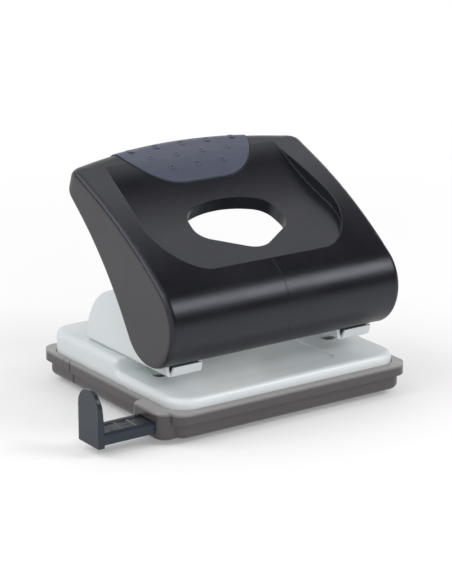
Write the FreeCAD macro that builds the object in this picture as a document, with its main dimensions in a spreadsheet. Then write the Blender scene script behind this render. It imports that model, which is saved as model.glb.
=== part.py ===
"""Two-hole lever punch: steel bed with two punch brackets, padded handle cover, chip tray and paper guide.

X runs along the row of holes, with 0 midway between them. Y runs to the rear, so paper enters from -Y.
Z is up, with 0 on the table. All sizes are in millimetres and degrees.
"""

import FreeCAD
import Part
import Sketcher

import math
import os
from types import SimpleNamespace

# Driving dimensions. Each one is a cell of the "sizes" sheet, under the same alias.
DIMENSIONS = {
    # hole pattern and stroke
    "hole_spacing": 80.0,
    "punch_depth": 12.0,
    "pin_diameter": 6.0,
    "cam_reach": 13.0,
    "handle_travel": 36.0,
    # steel bed
    "plate_width": 105.2,
    "plate_depth": 93.2,
    "plate_corner": 9.0,
    "plate_sheet": 1.6,
    "plate_edge_round": 2.4,
    "bed_height": 17.0,
    "deck_rise": 4.8,
    "stop_y": -4.0,
    "step_round": 1.6,
    "recess_width": 56.0,
    "recess_front": -38.0,
    "recess_sink": 0.6,
    # chip tray
    "tray_width": 109.0,
    "tray_depth": 100.0,
    "rim_proud": 1.9,
    "rim_bottom": 8.5,
    "rim_top": 13.0,
    "foot_height": 2.0,
    "tray_corner": 5.0,
    "foot_diameter": 12.0,
    "foot_inset": 20.5,
    "tray_wall": 2.2,
    "tray_floor": 1.2,
    "tray_bottom_round": 2.6,
    "slit_y": 27.3,
    "slit_width": 0.5,
    "gate_x": 58.8,
    "gate_front": -45.0,
    "gate_rear": -25.0,
    "gate_front_round": 5.0,
    "gate_rear_round": 2.5,
    # paper guide
    "guide_outside": -83.0,
    "guide_inner_end": 28.0,
    "bar_front": -41.0,
    "bar_rear": -29.8,
    "bar_lift": 1.2,
    "bar_height": 4.4,
    "bar_bevel": 0.9,
    "bar_border": 1.4,
    "bar_sink": 0.5,
    "upright_rear": -27.0,
    "upright_top": 24.4,
    "upright_thickness": 2.6,
    "upright_taper": 1.2,
    "rail_thickness": 1.4,
    "slide_gap": 0.2,
    # punch brackets
    "bracket_sheet": 1.6,
    "bracket_width": 16.2,
    "bracket_front": -32.8,
    "bracket_rear": 24.0,
    "cheek_top": 47.0,
    "cheek_lean": 1.2,
    "cheek_lean_height": 8.2,
    "bend_round": 1.8,
    "boss_round": 6.6,
    "boss_front": 7.0,
    "lip_reach": 2.6,
    "lip_rise": 4.4,
    # axle and its retainers
    "pivot_height": 42.0,
    "axle_diameter": 5.0,
    "axle_overhang": 2.2,
    "clip_thickness": 0.8,
    "clip_diameter": 9.0,
    "running_gap": 0.05,
    "spacer_diameter": 8.0,
    # guide bushes, pins and springs
    "bush_wall": 1.5,
    "flange_thickness": 1.0,
    "flange_diameter": 11.8,
    "pin_rest_height": 22.6,
    "pin_notch": 1.3,
    "spring_wire": 1.0,
    "spring_gap": 0.25,
    "spring_turns": 4.2,
    "washer_thickness": 0.8,
    "contact_gap": 0.15,
    "cam_start": 0.1,
    # rivets
    "rivet_diameter": 3.2,
    "rivet_head": 6.0,
    "rivet_head_height": 1.2,
    "rivet_front_y": 3.0,
    "rivet_rear_y": 17.0,
    # lever frame
    "arm_thickness": 2.5,
    "hub_diameter": 12.0,
    "bridge_y": 15.0,
    "bridge_z": 75.6,
    "bridge_slope": 25.0,
    "bridge_depth": 15.0,
    "bridge_sheet": 2.0,
    "boss_spacing": 46.0,
    "boss_diameter": 7.0,
    "boss_height": 7.2,
    "screw_diameter": 2.6,
    "screw_head": 5.6,
    "screw_head_height": 1.8,
    "screw_length": 5.0,
    # handle cover: corners of its side outline
    "cover_width": 107.0,
    "cover_wall": 2.4,
    "nose_y": -48.4,
    "nose_z": 48.0,
    "nose_round": 17.0,
    "crown_y": -16.0,
    "crown_z": 74.0,
    "crown_round": 205.0,
    "tail_y": 58.3,
    "tail_z": 105.4,
    "belly_y": 2.6,
    "belly_z": 59.5,
    "belly_round": 150.0,
    "chin_y": -31.4,
    "chin_z": 6.1,
    "chin_round": 16.4,
    "skirt_height": 27.2,
    "cover_edge_round": 2.4,
    # bowed rear edge of the cover, measured along a plane that slopes like its crown
    "rear_slope": 20.0,
    "rear_middle": 70.0,
    "rear_side": 57.0,
    "rear_bow": 182.0,
    "rear_corner_round": 8.0,
    "rear_top_round": 5.5,
    "rear_low_round": 3.0,
    "rear_split": 88.0,
    # side panels
    "panel_back": 1.3,
    "panel_drop": 0.6,
    "panel_thickness": 1.2,
    "panel_gap": 0.25,
    "panel_round": 0.5,
    # dished recess in the top
    "dish_half_width": 47.6,
    "dish_half_rear": 38.4,
    "dish_front": -32.9,
    "dish_corner": 22.0,
    "dish_rear": 32.0,
    "dish_front_z": 60.4,
    "dish_low_y": 1.6,
    "dish_low_z": 75.3,
    "dish_low_round": 110.0,
    "dish_high_y": 20.0,
    "dish_high_z": 89.5,
    "dish_high_round": 52.0,
    "dish_rear_z": 94.7,
    # window
    "window_y": -33.2,
    "window_z": 60.9,
    "window_slope": 24.0,
    "window_half_width": 21.7,
    "window_collar": 1.8,
    "window_depth": 6.0,
    # grip pad
    "grip_half_width": 31.0,
    "grip_front": 10.9,
    "grip_round": 22.0,
    "grip_sink": 1.4,
    "grip_proud": 0.3,
    "grip_bottom": 79.0,
    "grip_gap": 0.15,
    # ribs that seat the cover on the axle, set inwards from the pins
    "rib_offset": 15.0,
    "rib_thickness": 2.0,
    "rib_bottom": 28.0,
    "rib_axle_gap": 0.08,
}

ORIGIN = -1
H_AXIS = -1
V_AXIS = -2

YZ = FreeCAD.Rotation(FreeCAD.Vector(1, 1, 1), 120)
XZ = FreeCAD.Rotation(FreeCAD.Vector(1, 0, 0), 90)
XY = FreeCAD.Rotation()


class Size:
    """A length or angle that knows both its number and the sheet formula that it comes from."""

    def __init__(self, value, formula=None):
        self.value = float(value)
        self.formula = formula if formula is not None else f"({value})"

    def __add__(self, other):
        other = as_size(other)
        return Size(self.value + other.value, f"({self.formula} + {other.formula})")

    def __sub__(self, other):
        other = as_size(other)
        return Size(self.value - other.value, f"({self.formula} - {other.formula})")

    def __mul__(self, other):
        other = as_size(other)
        return Size(self.value * other.value, f"({self.formula} * {other.formula})")

    def __truediv__(self, other):
        other = as_size(other)
        return Size(self.value / other.value, f"({self.formula} / {other.formula})")

    def __neg__(self):
        return Size(-self.value, f"(0 - {self.formula})")


def as_size(number):
    return number if isinstance(number, Size) else Size(number)


def sine(angle):
    return Size(math.sin(math.radians(angle.value)), f"sin({angle.formula} * 1 deg)")


def cosine(angle):
    return Size(math.cos(math.radians(angle.value)), f"cos({angle.formula} * 1 deg)")


doc = FreeCAD.newDocument("lever_punch")
sheet = doc.addObject("Spreadsheet::Sheet", "sizes")
for row, (alias, number) in enumerate(DIMENSIONS.items(), start=1):
    sheet.set(f"A{row}", str(number))
    sheet.setAlias(f"A{row}", alias)
doc.recompute()
d = SimpleNamespace(**{alias: Size(number, f"sizes.{alias}") for alias, number in DIMENSIONS.items()})

# Places that several pieces share.
pin_y = d.stop_y - d.punch_depth
pivot_y = pin_y - d.cam_reach
deck_height = d.bed_height + d.deck_rise
web_top = deck_height + d.bracket_sheet
pin_x = d.hole_spacing / 2
rib_x = pin_x - d.rib_offset
pin_radius = d.pin_diameter / 2
pin_top = d.pivot_height - d.cam_reach * d.cam_start - d.contact_gap
clip_base = pin_top - 1.8
washer_base = clip_base - d.washer_thickness
stroke = d.cam_reach * d.handle_travel * (math.pi / 180)
bush_top = washer_base - stroke - 0.4
flange_top = web_top + d.flange_thickness
barrel_radius = pin_radius + d.running_gap + d.bush_wall
spring_radius = barrel_radius + d.spring_gap + d.spring_wire / 2
bracket_inside = d.bracket_width - d.bracket_sheet * 2
tray_wall_x = d.tray_width / 2 - d.rim_proud
tray_wall_y = d.tray_depth / 2 - d.rim_proud
plate_x = d.plate_width / 2
plate_y = d.plate_depth / 2
floor_top = d.foot_height + d.tray_floor
bar_bottom = floor_top + d.bar_lift + d.slide_gap
bar_top = bar_bottom + d.bar_height
ledge_height = bar_top + d.slide_gap
cover_x = d.cover_width / 2
side_wall = d.panel_thickness + 1.0


# ---------------------------------------------------------------- sketch helpers

def distance(sketch, kind, geometry, point, length):
    """Places one point of a sketch by its distance from the sketch's origin, bound to the sheet."""
    if abs(length.value) < 1e-9:
        axis = V_AXIS if kind == "DistanceX" else H_AXIS
        sketch.addConstraint(Sketcher.Constraint("PointOnObject", geometry, point, axis))
        return
    index = sketch.addConstraint(Sketcher.Constraint(kind, ORIGIN, 1, geometry, point, length.value))
    sketch.setExpression(f"Constraints[{index}]", length.formula)


def rounded_corner(before, corner, after, radius):
    """Start, end and centre of the arc of that radius that rounds a corner, and whether it turns left."""
    back = (before - corner).normalize()
    ahead = (after - corner).normalize()
    half_angle = back.getAngle(ahead) / 2
    start = corner + back * (radius / math.tan(half_angle))
    end = corner + ahead * (radius / math.tan(half_angle))
    centre = corner + (back + ahead).normalize() * (radius / math.sin(half_angle))
    turns_left = (-back).cross(ahead).z > 0
    return start, end, centre, turns_left


def draw_outline(sketch, corners):
    """Draws a closed outline. Each corner is (across, up) or (across, up, radius) for a rounded one."""
    corners = [tuple(as_size(part) for part in corner) for corner in corners]
    points = [FreeCAD.Vector(corner[0].value, corner[1].value, 0) for corner in corners]
    count = len(corners)
    rounds = []
    for index, corner in enumerate(corners):
        if len(corner) == 3:
            ahead = points[(index + 1) % count]
            rounds.append(rounded_corner(points[index - 1], points[index], ahead, corner[2].value))
        else:
            rounds.append((points[index], points[index], None, None))
    lines = []
    for index in range(count):
        following = (index + 1) % count
        lines.append(sketch.addGeometry(Part.LineSegment(rounds[index][1], rounds[following][0]), False))
    for index, corner in enumerate(corners):
        into, out = lines[index - 1], lines[index]
        if len(corner) == 2:
            sketch.addConstraint(Sketcher.Constraint("Coincident", into, 2, out, 1))
            distance(sketch, "DistanceX", out, 1, corner[0])
            distance(sketch, "DistanceY", out, 1, corner[1])
            continue
        start, end, centre, turns_left = rounds[index]
        first, last = (start, end) if turns_left else (end, start)
        angles = [math.atan2(point.y - centre.y, point.x - centre.x) for point in (first, last)]
        circle = Part.Circle(centre, FreeCAD.Vector(0, 0, 1), corner[2].value)
        arc = sketch.addGeometry(Part.ArcOfCircle(circle, angles[0], angles[1]), False)
        arc_start, arc_end = (1, 2) if turns_left else (2, 1)
        tip = sketch.addGeometry(Part.Point(points[index]), True)
        sketch.addConstraint([
            Sketcher.Constraint("Tangent", into, 2, arc, arc_start),
            Sketcher.Constraint("Tangent", arc, arc_end, out, 1),
            Sketcher.Constraint("PointOnObject", tip, 1, into),
            Sketcher.Constraint("PointOnObject", tip, 1, out),
        ])
        radius = sketch.addConstraint(Sketcher.Constraint("Radius", arc, corner[2].value))
        sketch.setExpression(f"Constraints[{radius}]", corner[2].formula)
        distance(sketch, "DistanceX", tip, 1, corner[0])
        distance(sketch, "DistanceY", tip, 1, corner[1])


def draw_circle(sketch, across, up, radius):
    across, up, radius = as_size(across), as_size(up), as_size(radius)
    centre = FreeCAD.Vector(across.value, up.value, 0)
    circle = sketch.addGeometry(Part.Circle(centre, FreeCAD.Vector(0, 0, 1), radius.value), False)
    index = sketch.addConstraint(Sketcher.Constraint("Radius", circle, radius.value))
    sketch.setExpression(f"Constraints[{index}]", radius.formula)
    distance(sketch, "DistanceX", circle, 3, across)
    distance(sketch, "DistanceY", circle, 3, up)


def rectangle(left, right, low, high, radius=None):
    """Corners of an upright rectangle, all rounded alike if a radius is given."""
    places = [(left, low), (right, low), (right, high), (left, high)]
    return [place + (radius,) for place in places] if radius is not None else places


def centred(half_width, half_depth, radius=None):
    return rectangle(-half_width, half_width, -half_depth, half_depth, radius)


# ---------------------------------------------------------------- body helpers

def new_body(label, x=None, y=None, z=None):
    """A body with its own label, placed by sizes."""
    body = doc.addObject("PartDesign::Body", label)
    body.Label = label
    place(body, x, y, z)
    return body


def place(thing, x=None, y=None, z=None):
    for axis, length in (("x", x), ("y", y), ("z", z)):
        if length is not None:
            thing.setExpression(f"Placement.Base.{axis}", as_size(length).formula)


def body_sketch(body, name, plane, outline=(), circles=(), offset=None):
    """A sketch on one of the body's own origin planes, moved along that plane's normal by the offset."""
    sketch = body.newObject("Sketcher::SketchObject", name)
    base = next(item for item in body.Origin.OriginFeatures if item.Role == f"{plane}_Plane")
    sketch.AttachmentSupport = [(base, "")]
    sketch.MapMode = "FlatFace"
    if offset is not None:
        sketch.setExpression("AttachmentOffset.Base.z", as_size(offset).formula)
    if outline:
        draw_outline(sketch, outline)
    for circle in circles:
        draw_circle(sketch, *circle)
    return sketch


def extrude_feature(body, kind, name, sketch, length, side="One side", backwards=False):
    feature = body.newObject(f"PartDesign::{kind}", name)
    feature.Profile = sketch
    feature.SideType = side
    feature.Reversed = backwards
    feature.setExpression("Length", as_size(length).formula)
    sketch.Visibility = False
    body.Tip = feature
    doc.recompute()
    return feature


def pad(body, name, sketch, length, side="One side", backwards=False):
    return extrude_feature(body, "Pad", name, sketch, length, side, backwards)


def pocket(body, name, sketch, length, side="One side", backwards=False):
    """Cuts against the sketch's normal, or along it if backwards, and insists that it removes something."""
    before = body.Shape.Volume
    feature = extrude_feature(body, "Pocket", name, sketch, length, side, backwards)
    if not body.Shape.Volume < before - 1e-6:
        raise RuntimeError(f"{body.Label}: {name} cuts nothing")
    return feature


def turn(body, name, outline, axis="V_Axis"):
    """A full turn of an outline about the sketch's own axis."""
    sketch = body_sketch(body, f"{name}_profile", "XZ", outline)
    feature = body.newObject("PartDesign::Revolution", name)
    feature.Profile = sketch
    feature.ReferenceAxis = (sketch, [axis])
    feature.Angle = 360.0
    body.Tip = feature
    doc.recompute()
    return feature


def edges_where(shape, test):
    return [f"Edge{index}" for index, edge in enumerate(shape.Edges, start=1) if test(edge)]


def dress(body, kind, name, base, chosen, size):
    """Fillets or chamfers chosen edges of the body's last feature."""
    feature = body.newObject(f"PartDesign::{kind}", name)
    feature.Base = (base, chosen)
    feature.setExpression("Radius" if kind == "Fillet" else "Size", as_size(size).formula)
    body.Tip = feature
    doc.recompute()
    return feature


def at_height(height, tolerance=0.01):
    return lambda edge: all(abs(vertex.Z - height) < tolerance for vertex in edge.Vertexes)


# ---------------------------------------------------------------- solid helpers

def free_sketch(name, frame, outline=(), circles=(), base=None, tilt=None):
    """A sketch in the frame of a coordinate plane. Base moves it, and tilt turns it about X."""
    sketch = doc.addObject("Sketcher::SketchObject", name)
    if tilt is not None:
        sketch.Placement = FreeCAD.Placement(FreeCAD.Vector(), FreeCAD.Rotation(FreeCAD.Vector(1, 0, 0), 10))
        sketch.setExpression("Placement.Rotation.Angle", tilt.formula)
    else:
        sketch.Placement = FreeCAD.Placement(FreeCAD.Vector(), frame)
    if base is not None:
        place(sketch, *base)
    if outline:
        draw_outline(sketch, outline)
    for circle in circles:
        draw_circle(sketch, *circle)
    sketch.Visibility = False
    return sketch


def extrusion(name, profile, ahead, behind=None, symmetric=False):
    """A solid swept along its profile's normal."""
    solid = doc.addObject("Part::Extrusion", name)
    solid.Base = profile
    solid.DirMode = "Normal"
    solid.Solid = True
    solid.Symmetric = symmetric
    solid.setExpression("LengthFwd", as_size(ahead).formula)
    if behind is not None:
        solid.setExpression("LengthRev", as_size(behind).formula)
    return solid


def inset(name, sketch, amount):
    """The outline moved inwards by an amount, or outwards where the amount is negative."""
    moved = doc.addObject("Part::Offset2D", name)
    moved.Source = sketch
    moved.Join = "Arc"
    moved.setExpression("Value", (-as_size(amount)).formula)
    return moved


def cut(name, base, tool):
    result = doc.addObject("Part::Cut", name)
    result.Base = base
    result.Tool = tool
    return result


def common(name, first, second):
    result = doc.addObject("Part::Common", name)
    result.Base = first
    result.Tool = second
    return result


def fuse(name, solids):
    result = doc.addObject("Part::MultiFuse", name)
    result.Shapes = solids
    return result


def group(label, solids):
    """Separate solids that are kept as one piece of the assembly."""
    result = doc.addObject("Part::Compound", label)
    result.Links = solids
    return result


def cylinder(name, radius, height, x=None, y=None, z=None, rotation=None):
    solid = doc.addObject("Part::Cylinder", name)
    solid.setExpression("Radius", as_size(radius).formula)
    solid.setExpression("Height", as_size(height).formula)
    if rotation is not None:
        solid.Placement = FreeCAD.Placement(FreeCAD.Vector(), rotation)
    place(solid, x, y, z)
    return solid


# ---------------------------------------------------------------- chip tray and paper guide

def make_chip_tray():
    """Smoke-clear tray with a proud rim, round feet, rails for the guide and a gate that it slides through."""
    body = new_body("chip_tray")
    corner = d.tray_corner
    walls = body_sketch(body, "wall_outline", "XY", centred(tray_wall_x, tray_wall_y, corner), offset=d.foot_height)
    shell = pad(body, "walls", walls, d.rim_bottom - d.foot_height)
    bottom = edges_where(shell.Shape, at_height(d.foot_height.value))
    dress(body, "Fillet", "bottom_round", shell, bottom, d.tray_bottom_round)
    rim_outline = centred(d.tray_width / 2, d.tray_depth / 2, corner + 1)
    rim = body_sketch(body, "rim_outline", "XY", rim_outline, offset=d.rim_bottom)
    pad(body, "rim", rim, d.rim_top - d.rim_bottom)
    gate_outline = [
        (-d.gate_x, d.gate_front, d.gate_front_round),
        (-tray_wall_x + d.tray_wall, d.gate_front),
        (-tray_wall_x + d.tray_wall, d.gate_rear),
        (-d.gate_x, d.gate_rear, d.gate_rear_round),
    ]
    gate = body_sketch(body, "gate_outline", "XY", gate_outline, offset=d.foot_height)
    gate_block = pad(body, "guide_gate", gate, d.rim_top - d.foot_height)

    def gate_rim(edge):
        level = at_height(d.rim_top.value)(edge) or at_height(d.foot_height.value)(edge)
        return level and all(vertex.X < -d.tray_width.value / 2 - 0.05 for vertex in edge.Vertexes)

    dress(body, "Fillet", "gate_round", gate_block, edges_where(gate_block.Shape, gate_rim), d.gate_rear_round * 0.6)
    foot_x, foot_y = tray_wall_x - d.foot_inset, tray_wall_y - d.foot_inset
    centres = [(0, 0)] + [(foot_x * across, foot_y * along) for across in (-1, 1) for along in (-1, 1)]
    circles = [(across, along, d.foot_diameter / 2) for across, along in centres]
    pad(body, "feet", body_sketch(body, "feet_outline", "XY", circles=circles), floor_top)
    seat_outline = centred(plate_x + 0.3, plate_y + 0.3, d.plate_corner + 0.3)
    seat = body_sketch(body, "seat_outline", "XY", seat_outline, offset=ledge_height)
    pocket(body, "plate_seat", seat, d.rim_top - ledge_height + 1, backwards=True)
    bin_outline = centred(tray_wall_x - d.tray_wall, tray_wall_y - d.tray_wall, corner - d.tray_wall)
    chips = body_sketch(body, "bin_outline", "XY", bin_outline, offset=floor_top)
    pocket(body, "chip_bin", chips, d.rim_top, backwards=True)
    runner_outline = rectangle(-tray_wall_x + 1, tray_wall_x - 1, d.bar_front, d.bar_rear)
    runner = body_sketch(body, "runner_outline", "XY", runner_outline, offset=floor_top - 0.5)
    pad(body, "runner", runner, d.bar_lift + 0.5)
    for name, near, far in (
        ("front_rail", d.bar_front - d.slide_gap - d.rail_thickness, d.bar_front - d.slide_gap),
        ("rear_rail", d.bar_rear + d.slide_gap, d.bar_rear + d.slide_gap + d.rail_thickness),
    ):
        outline = rectangle(-tray_wall_x + 1, tray_wall_x - 1, near, far)
        rail = body_sketch(body, f"{name}_outline", "XY", outline, offset=floor_top - 0.5)
        pad(body, name, rail, d.rim_bottom - floor_top)
    gate_low = floor_top + d.bar_lift
    slot_outline = rectangle(d.bar_front - d.slide_gap, d.bar_rear + d.slide_gap, gate_low, bar_top + d.slide_gap)
    slot = body_sketch(body, "slot_outline", "YZ", slot_outline, offset=-d.gate_x - 1)
    pocket(body, "guide_slot", slot, d.gate_x - tray_wall_x + d.tray_wall + 2, backwards=True)
    for side in (-1, 1):
        outline = rectangle(d.slit_y - d.slit_width / 2, d.slit_y + d.slit_width / 2, d.foot_height + 1.2, d.rim_top + 1)
        name = "left_slit" if side < 0 else "right_slit"
        start = (tray_wall_x - d.tray_wall - 0.5) * side
        slit = body_sketch(body, f"{name}_outline", "YZ", outline, offset=start)
        pocket(body, name, slit, d.tray_wall + d.rim_proud + 2, backwards=side > 0)
    return body


def make_paper_guide():
    """Sliding side stop: a flat bar under the bed with an upright tombstone on its outer end."""
    body = new_body("paper_guide")
    bar_outline = rectangle(d.guide_outside + 1, d.guide_inner_end, d.bar_front, d.bar_rear)
    bar = body_sketch(body, "bar_outline", "XY", bar_outline, offset=bar_bottom)
    bar_block = pad(body, "bar", bar, d.bar_height)

    def front_top(edge):
        return at_height(bar_top.value)(edge) and all(vertex.Y < d.bar_front.value + 0.1 for vertex in edge.Vertexes)

    dress(body, "Chamfer", "bar_bevel", bar_block, edges_where(bar_block.Shape, front_top), d.bar_bevel)
    half = (d.upright_rear - d.bar_front) / 2
    face = [
        (d.bar_front, floor_top + d.slide_gap),
        (d.upright_rear, floor_top + d.slide_gap),
        (d.upright_rear, d.upright_top, half * 0.96),
        (d.bar_front, d.upright_top, half * 0.96),
    ]
    upright = body_sketch(body, "upright_outline", "YZ", face, offset=d.guide_outside)
    pad(body, "upright", upright, d.upright_thickness)
    inner_face = d.guide_outside + d.upright_thickness
    lean_outline = [
        (inner_face, bar_top + 1.5),
        (inner_face + 1, bar_top + 1.5),
        (inner_face + 1, d.upright_top + 1),
        (inner_face - d.upright_taper, d.upright_top + 1),
    ]
    lean = body_sketch(body, "lean_outline", "XZ", lean_outline)
    pocket(body, "lean", lean, d.tray_depth * 2, side="Symmetric")
    panel_outline = rectangle(
        d.guide_outside + d.upright_thickness + d.bar_border + 2,
        d.guide_inner_end - d.bar_border * 8,
        d.bar_front + d.bar_border,
        d.bar_rear - d.bar_border,
    )
    panel = body_sketch(body, "scale_panel_outline", "XY", panel_outline, offset=bar_top)
    pocket(body, "scale_panel", panel, d.bar_sink)
    return body


# ---------------------------------------------------------------- steel bed

def make_base_plate():
    """Pressed steel bed: low in front for the paper, stepped up to a deck that carries the brackets."""
    body = new_body("base_plate")
    outline = centred(plate_x, plate_y, d.plate_corner)
    block = body_sketch(body, "block_outline", "XY", outline, offset=ledge_height)
    pad(body, "block", block, deck_height - ledge_height)
    front = rectangle(-plate_x - 5, plate_x + 5, -plate_y - 5, d.stop_y)
    bed = body_sketch(body, "bed_outline", "XY", front, offset=d.bed_height)
    last = pocket(body, "bed", bed, d.deck_rise + 1, backwards=True)

    def on_step(edge):
        return all(abs(vertex.Y - d.stop_y.value) < 0.1 for vertex in edge.Vertexes)

    def step_head(edge):
        return on_step(edge) and all(vertex.Z > deck_height.value - 0.1 for vertex in edge.Vertexes)

    def step_foot(edge):
        return on_step(edge) and all(abs(vertex.Z - d.bed_height.value) < 0.1 for vertex in edge.Vertexes)

    def top_rim(edge):
        on_side = any(
            abs(abs(vertex.X) - plate_x.value) < 0.1 or abs(abs(vertex.Y) - plate_y.value) < 0.1
            for vertex in edge.Vertexes
        )
        return on_side and all(vertex.Z > d.bed_height.value - 0.1 for vertex in edge.Vertexes)

    last = dress(body, "Fillet", "step_head_round", last, edges_where(last.Shape, step_head), d.step_round)
    last = dress(body, "Fillet", "step_foot_round", last, edges_where(last.Shape, step_foot), d.step_round)
    last = dress(body, "Fillet", "edge_round", last, edges_where(last.Shape, top_rim), d.plate_edge_round)
    under_outline = centred(plate_x - d.plate_sheet, plate_y - d.plate_sheet, d.plate_corner - d.plate_sheet)
    bed_under = d.bed_height - d.plate_sheet
    under = body_sketch(body, "under_outline", "XY", under_outline, offset=ledge_height)
    pocket(body, "bed_underside", under, bed_under - ledge_height, backwards=True)
    deck_corner = d.plate_corner - d.plate_sheet
    deck_side, deck_end = plate_x - d.plate_sheet, plate_y - d.plate_sheet
    deck_outline = [
        (-deck_side, d.stop_y + d.plate_sheet),
        (deck_side, d.stop_y + d.plate_sheet),
        (deck_side, deck_end, deck_corner),
        (-deck_side, deck_end, deck_corner),
    ]
    deck = body_sketch(body, "deck_under_outline", "XY", deck_outline, offset=ledge_height)
    pocket(body, "deck_underside", deck, deck_height - d.plate_sheet - ledge_height, backwards=True)
    half = d.recess_width / 2
    sunk_outline = rectangle(-half, half, d.recess_front, d.stop_y - d.step_round - 1, 3.0)
    emboss = body_sketch(body, "emboss_outline", "XY", sunk_outline, offset=bed_under - d.recess_sink)
    pad(body, "emboss", emboss, d.recess_sink + 0.5)
    sunk = body_sketch(body, "recess_outline", "XY", sunk_outline, offset=d.bed_height)
    pocket(body, "recess", sunk, d.recess_sink)
    die_holes = [(pin_x * side, pin_y, pin_radius + d.running_gap * 2) for side in (-1, 1)]
    rivet_holes = [
        (pin_x * side, rivet_y, d.rivet_diameter / 2 + d.running_gap)
        for side in (-1, 1)
        for rivet_y in (d.rivet_front_y, d.rivet_rear_y)
    ]
    holes = body_sketch(body, "hole_pattern", "XY", circles=die_holes + rivet_holes, offset=deck_height + 1)
    pocket(body, "holes", holes, d.deck_rise + d.plate_sheet * 2 + 1)
    return body


# ---------------------------------------------------------------- punch brackets and what they hold

def make_bracket(label, side):
    """Folded steel channel: its web guides the pin, its cheeks carry the axle, its lip leads paper in."""
    body = new_body(label, x=pin_x * side)
    boss_left = pivot_y - d.boss_front
    cheek_outline = [
        (d.bracket_front, deck_height),
        (d.bracket_rear, deck_height),
        (d.bracket_rear, d.cheek_top, d.cheek_top - deck_height - 0.2),
        (boss_left, d.cheek_top + 0.6, d.boss_round),
        (boss_left, d.pivot_height - d.boss_round),
        (d.bracket_front + d.cheek_lean, deck_height + d.cheek_lean_height),
    ]
    cheeks = body_sketch(body, "cheek_outline", "YZ", cheek_outline)
    block = pad(body, "folded_blank", cheeks, d.bracket_width, side="Symmetric")

    def bend(edge):
        return abs(edge.tangentAt(edge.FirstParameter).y) > 0.99 and at_height(deck_height.value)(edge)

    dress(body, "Fillet", "bends", block, edges_where(block.Shape, bend), d.bend_round)
    inside = bracket_inside / 2
    channel_outline = rectangle(-inside, inside, web_top, d.cheek_top + 5)
    channel = body_sketch(body, "channel_outline", "XZ", channel_outline)
    pocket(body, "channel", channel, d.plate_depth * 2, side="Symmetric")
    lip_y = d.bracket_front + d.bracket_sheet
    lip_outline = [
        (lip_y, deck_height),
        (lip_y, web_top),
        (d.bracket_front, web_top),
        (d.bracket_front - d.lip_reach + d.bracket_sheet * 0.6, web_top + d.lip_rise - d.bracket_sheet),
        (d.bracket_front - d.lip_reach, deck_height + d.lip_rise),
        (d.bracket_front - 0.4, deck_height + 0.3),
    ]
    lip = body_sketch(body, "lip_outline", "YZ", lip_outline)
    pad(body, "lead_in_lip", lip, d.bracket_width - d.bend_round * 2, side="Symmetric")
    bush_hole = (0, pin_y, barrel_radius + d.running_gap)
    rivets = [(0, rivet_y, d.rivet_diameter / 2 + d.running_gap) for rivet_y in (d.rivet_front_y, d.rivet_rear_y)]
    web_holes = body_sketch(body, "web_hole_pattern", "XY", circles=[bush_hole] + rivets, offset=web_top + 1)
    pocket(body, "web_holes", web_holes, d.bracket_sheet + 1.5)
    pivot = (pivot_y, d.pivot_height, d.axle_diameter / 2 + d.running_gap)
    pivot_hole = body_sketch(body, "pivot_hole_outline", "YZ", circles=[pivot])
    pocket(body, "pivot_hole", pivot_hole, d.bracket_width * 2, side="Symmetric")
    return body


def make_bracket_rivets():
    """Four flush-shanked rivets that hold the brackets down on the deck."""
    rivets = []
    for side, side_name in ((-1, "left"), (1, "right")):
        for rivet_y, end_name in ((d.rivet_front_y, "front"), (d.rivet_rear_y, "rear")):
            name = f"{side_name}_{end_name}_rivet"
            place_x = pin_x * side
            under = deck_height - d.plate_sheet
            grip = d.plate_sheet + d.bracket_sheet
            shank = cylinder(f"{name}_shank", d.rivet_diameter / 2, grip, place_x, rivet_y, under)
            head = doc.addObject("Part::Cone", f"{name}_head")
            head.setExpression("Radius1", (d.rivet_head / 2).formula)
            head.setExpression("Radius2", (d.rivet_head / 2 - d.rivet_head_height * 0.7).formula)
            head.setExpression("Height", d.rivet_head_height.formula)
            place(head, place_x, rivet_y, web_top)
            upset = cylinder(
                f"{name}_upset", d.rivet_head / 2, d.rivet_head_height, place_x, rivet_y, under - d.rivet_head_height)
            rivets.append(fuse(name, [shank, head, upset]))
    return group("bracket_rivets", rivets)


def make_guide_bush(label, side):
    """Flanged bush riveted into the web. The pin runs in it and the spring sits on its flange."""
    body = new_body(label, pin_x * side, pin_y)
    bore = pin_radius + d.running_gap
    turn(body, "bush", [
        (bore, deck_height),
        (barrel_radius, deck_height),
        (barrel_radius, web_top),
        (d.flange_diameter / 2, web_top),
        (d.flange_diameter / 2, flange_top),
        (barrel_radius, flange_top),
        (barrel_radius, bush_top),
        (bore, bush_top),
    ])
    return body


def make_punch_pin(label, side):
    """Hardened punch: a round pin with a clip groove and a vee ground across its cutting end."""
    body = new_body(label, pin_x * side, pin_y)
    groove_radius = pin_radius - 0.8
    groove_top = clip_base + d.clip_thickness + d.running_gap
    turn(body, "pin", [
        (0, d.pin_rest_height),
        (pin_radius, d.pin_rest_height),
        (pin_radius, clip_base),
        (groove_radius, clip_base),
        (groove_radius, groove_top),
        (pin_radius, groove_top),
        (pin_radius, pin_top - 0.4),
        (pin_radius - 0.4, pin_top),
        (0, pin_top),
    ])
    notch_outline = [
        (-pin_radius - 0.2, d.pin_rest_height - 0.2),
        (pin_radius + 0.2, d.pin_rest_height - 0.2),
        (0, d.pin_rest_height + d.pin_notch),
    ]
    notch = body_sketch(body, "notch_outline", "XZ", notch_outline)
    pocket(body, "cutting_vee", notch, d.pin_diameter * 2, side="Symmetric")
    return body


def make_spring_washer(label, side):
    body = new_body(label, pin_x * side, pin_y)
    bore = pin_radius + d.running_gap
    outer = spring_radius + d.spring_wire / 2
    rings = [(0, 0, outer), (0, 0, bore)]
    pad(body, "washer", body_sketch(body, "ring", "XY", circles=rings, offset=washer_base), d.washer_thickness)
    return body


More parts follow.
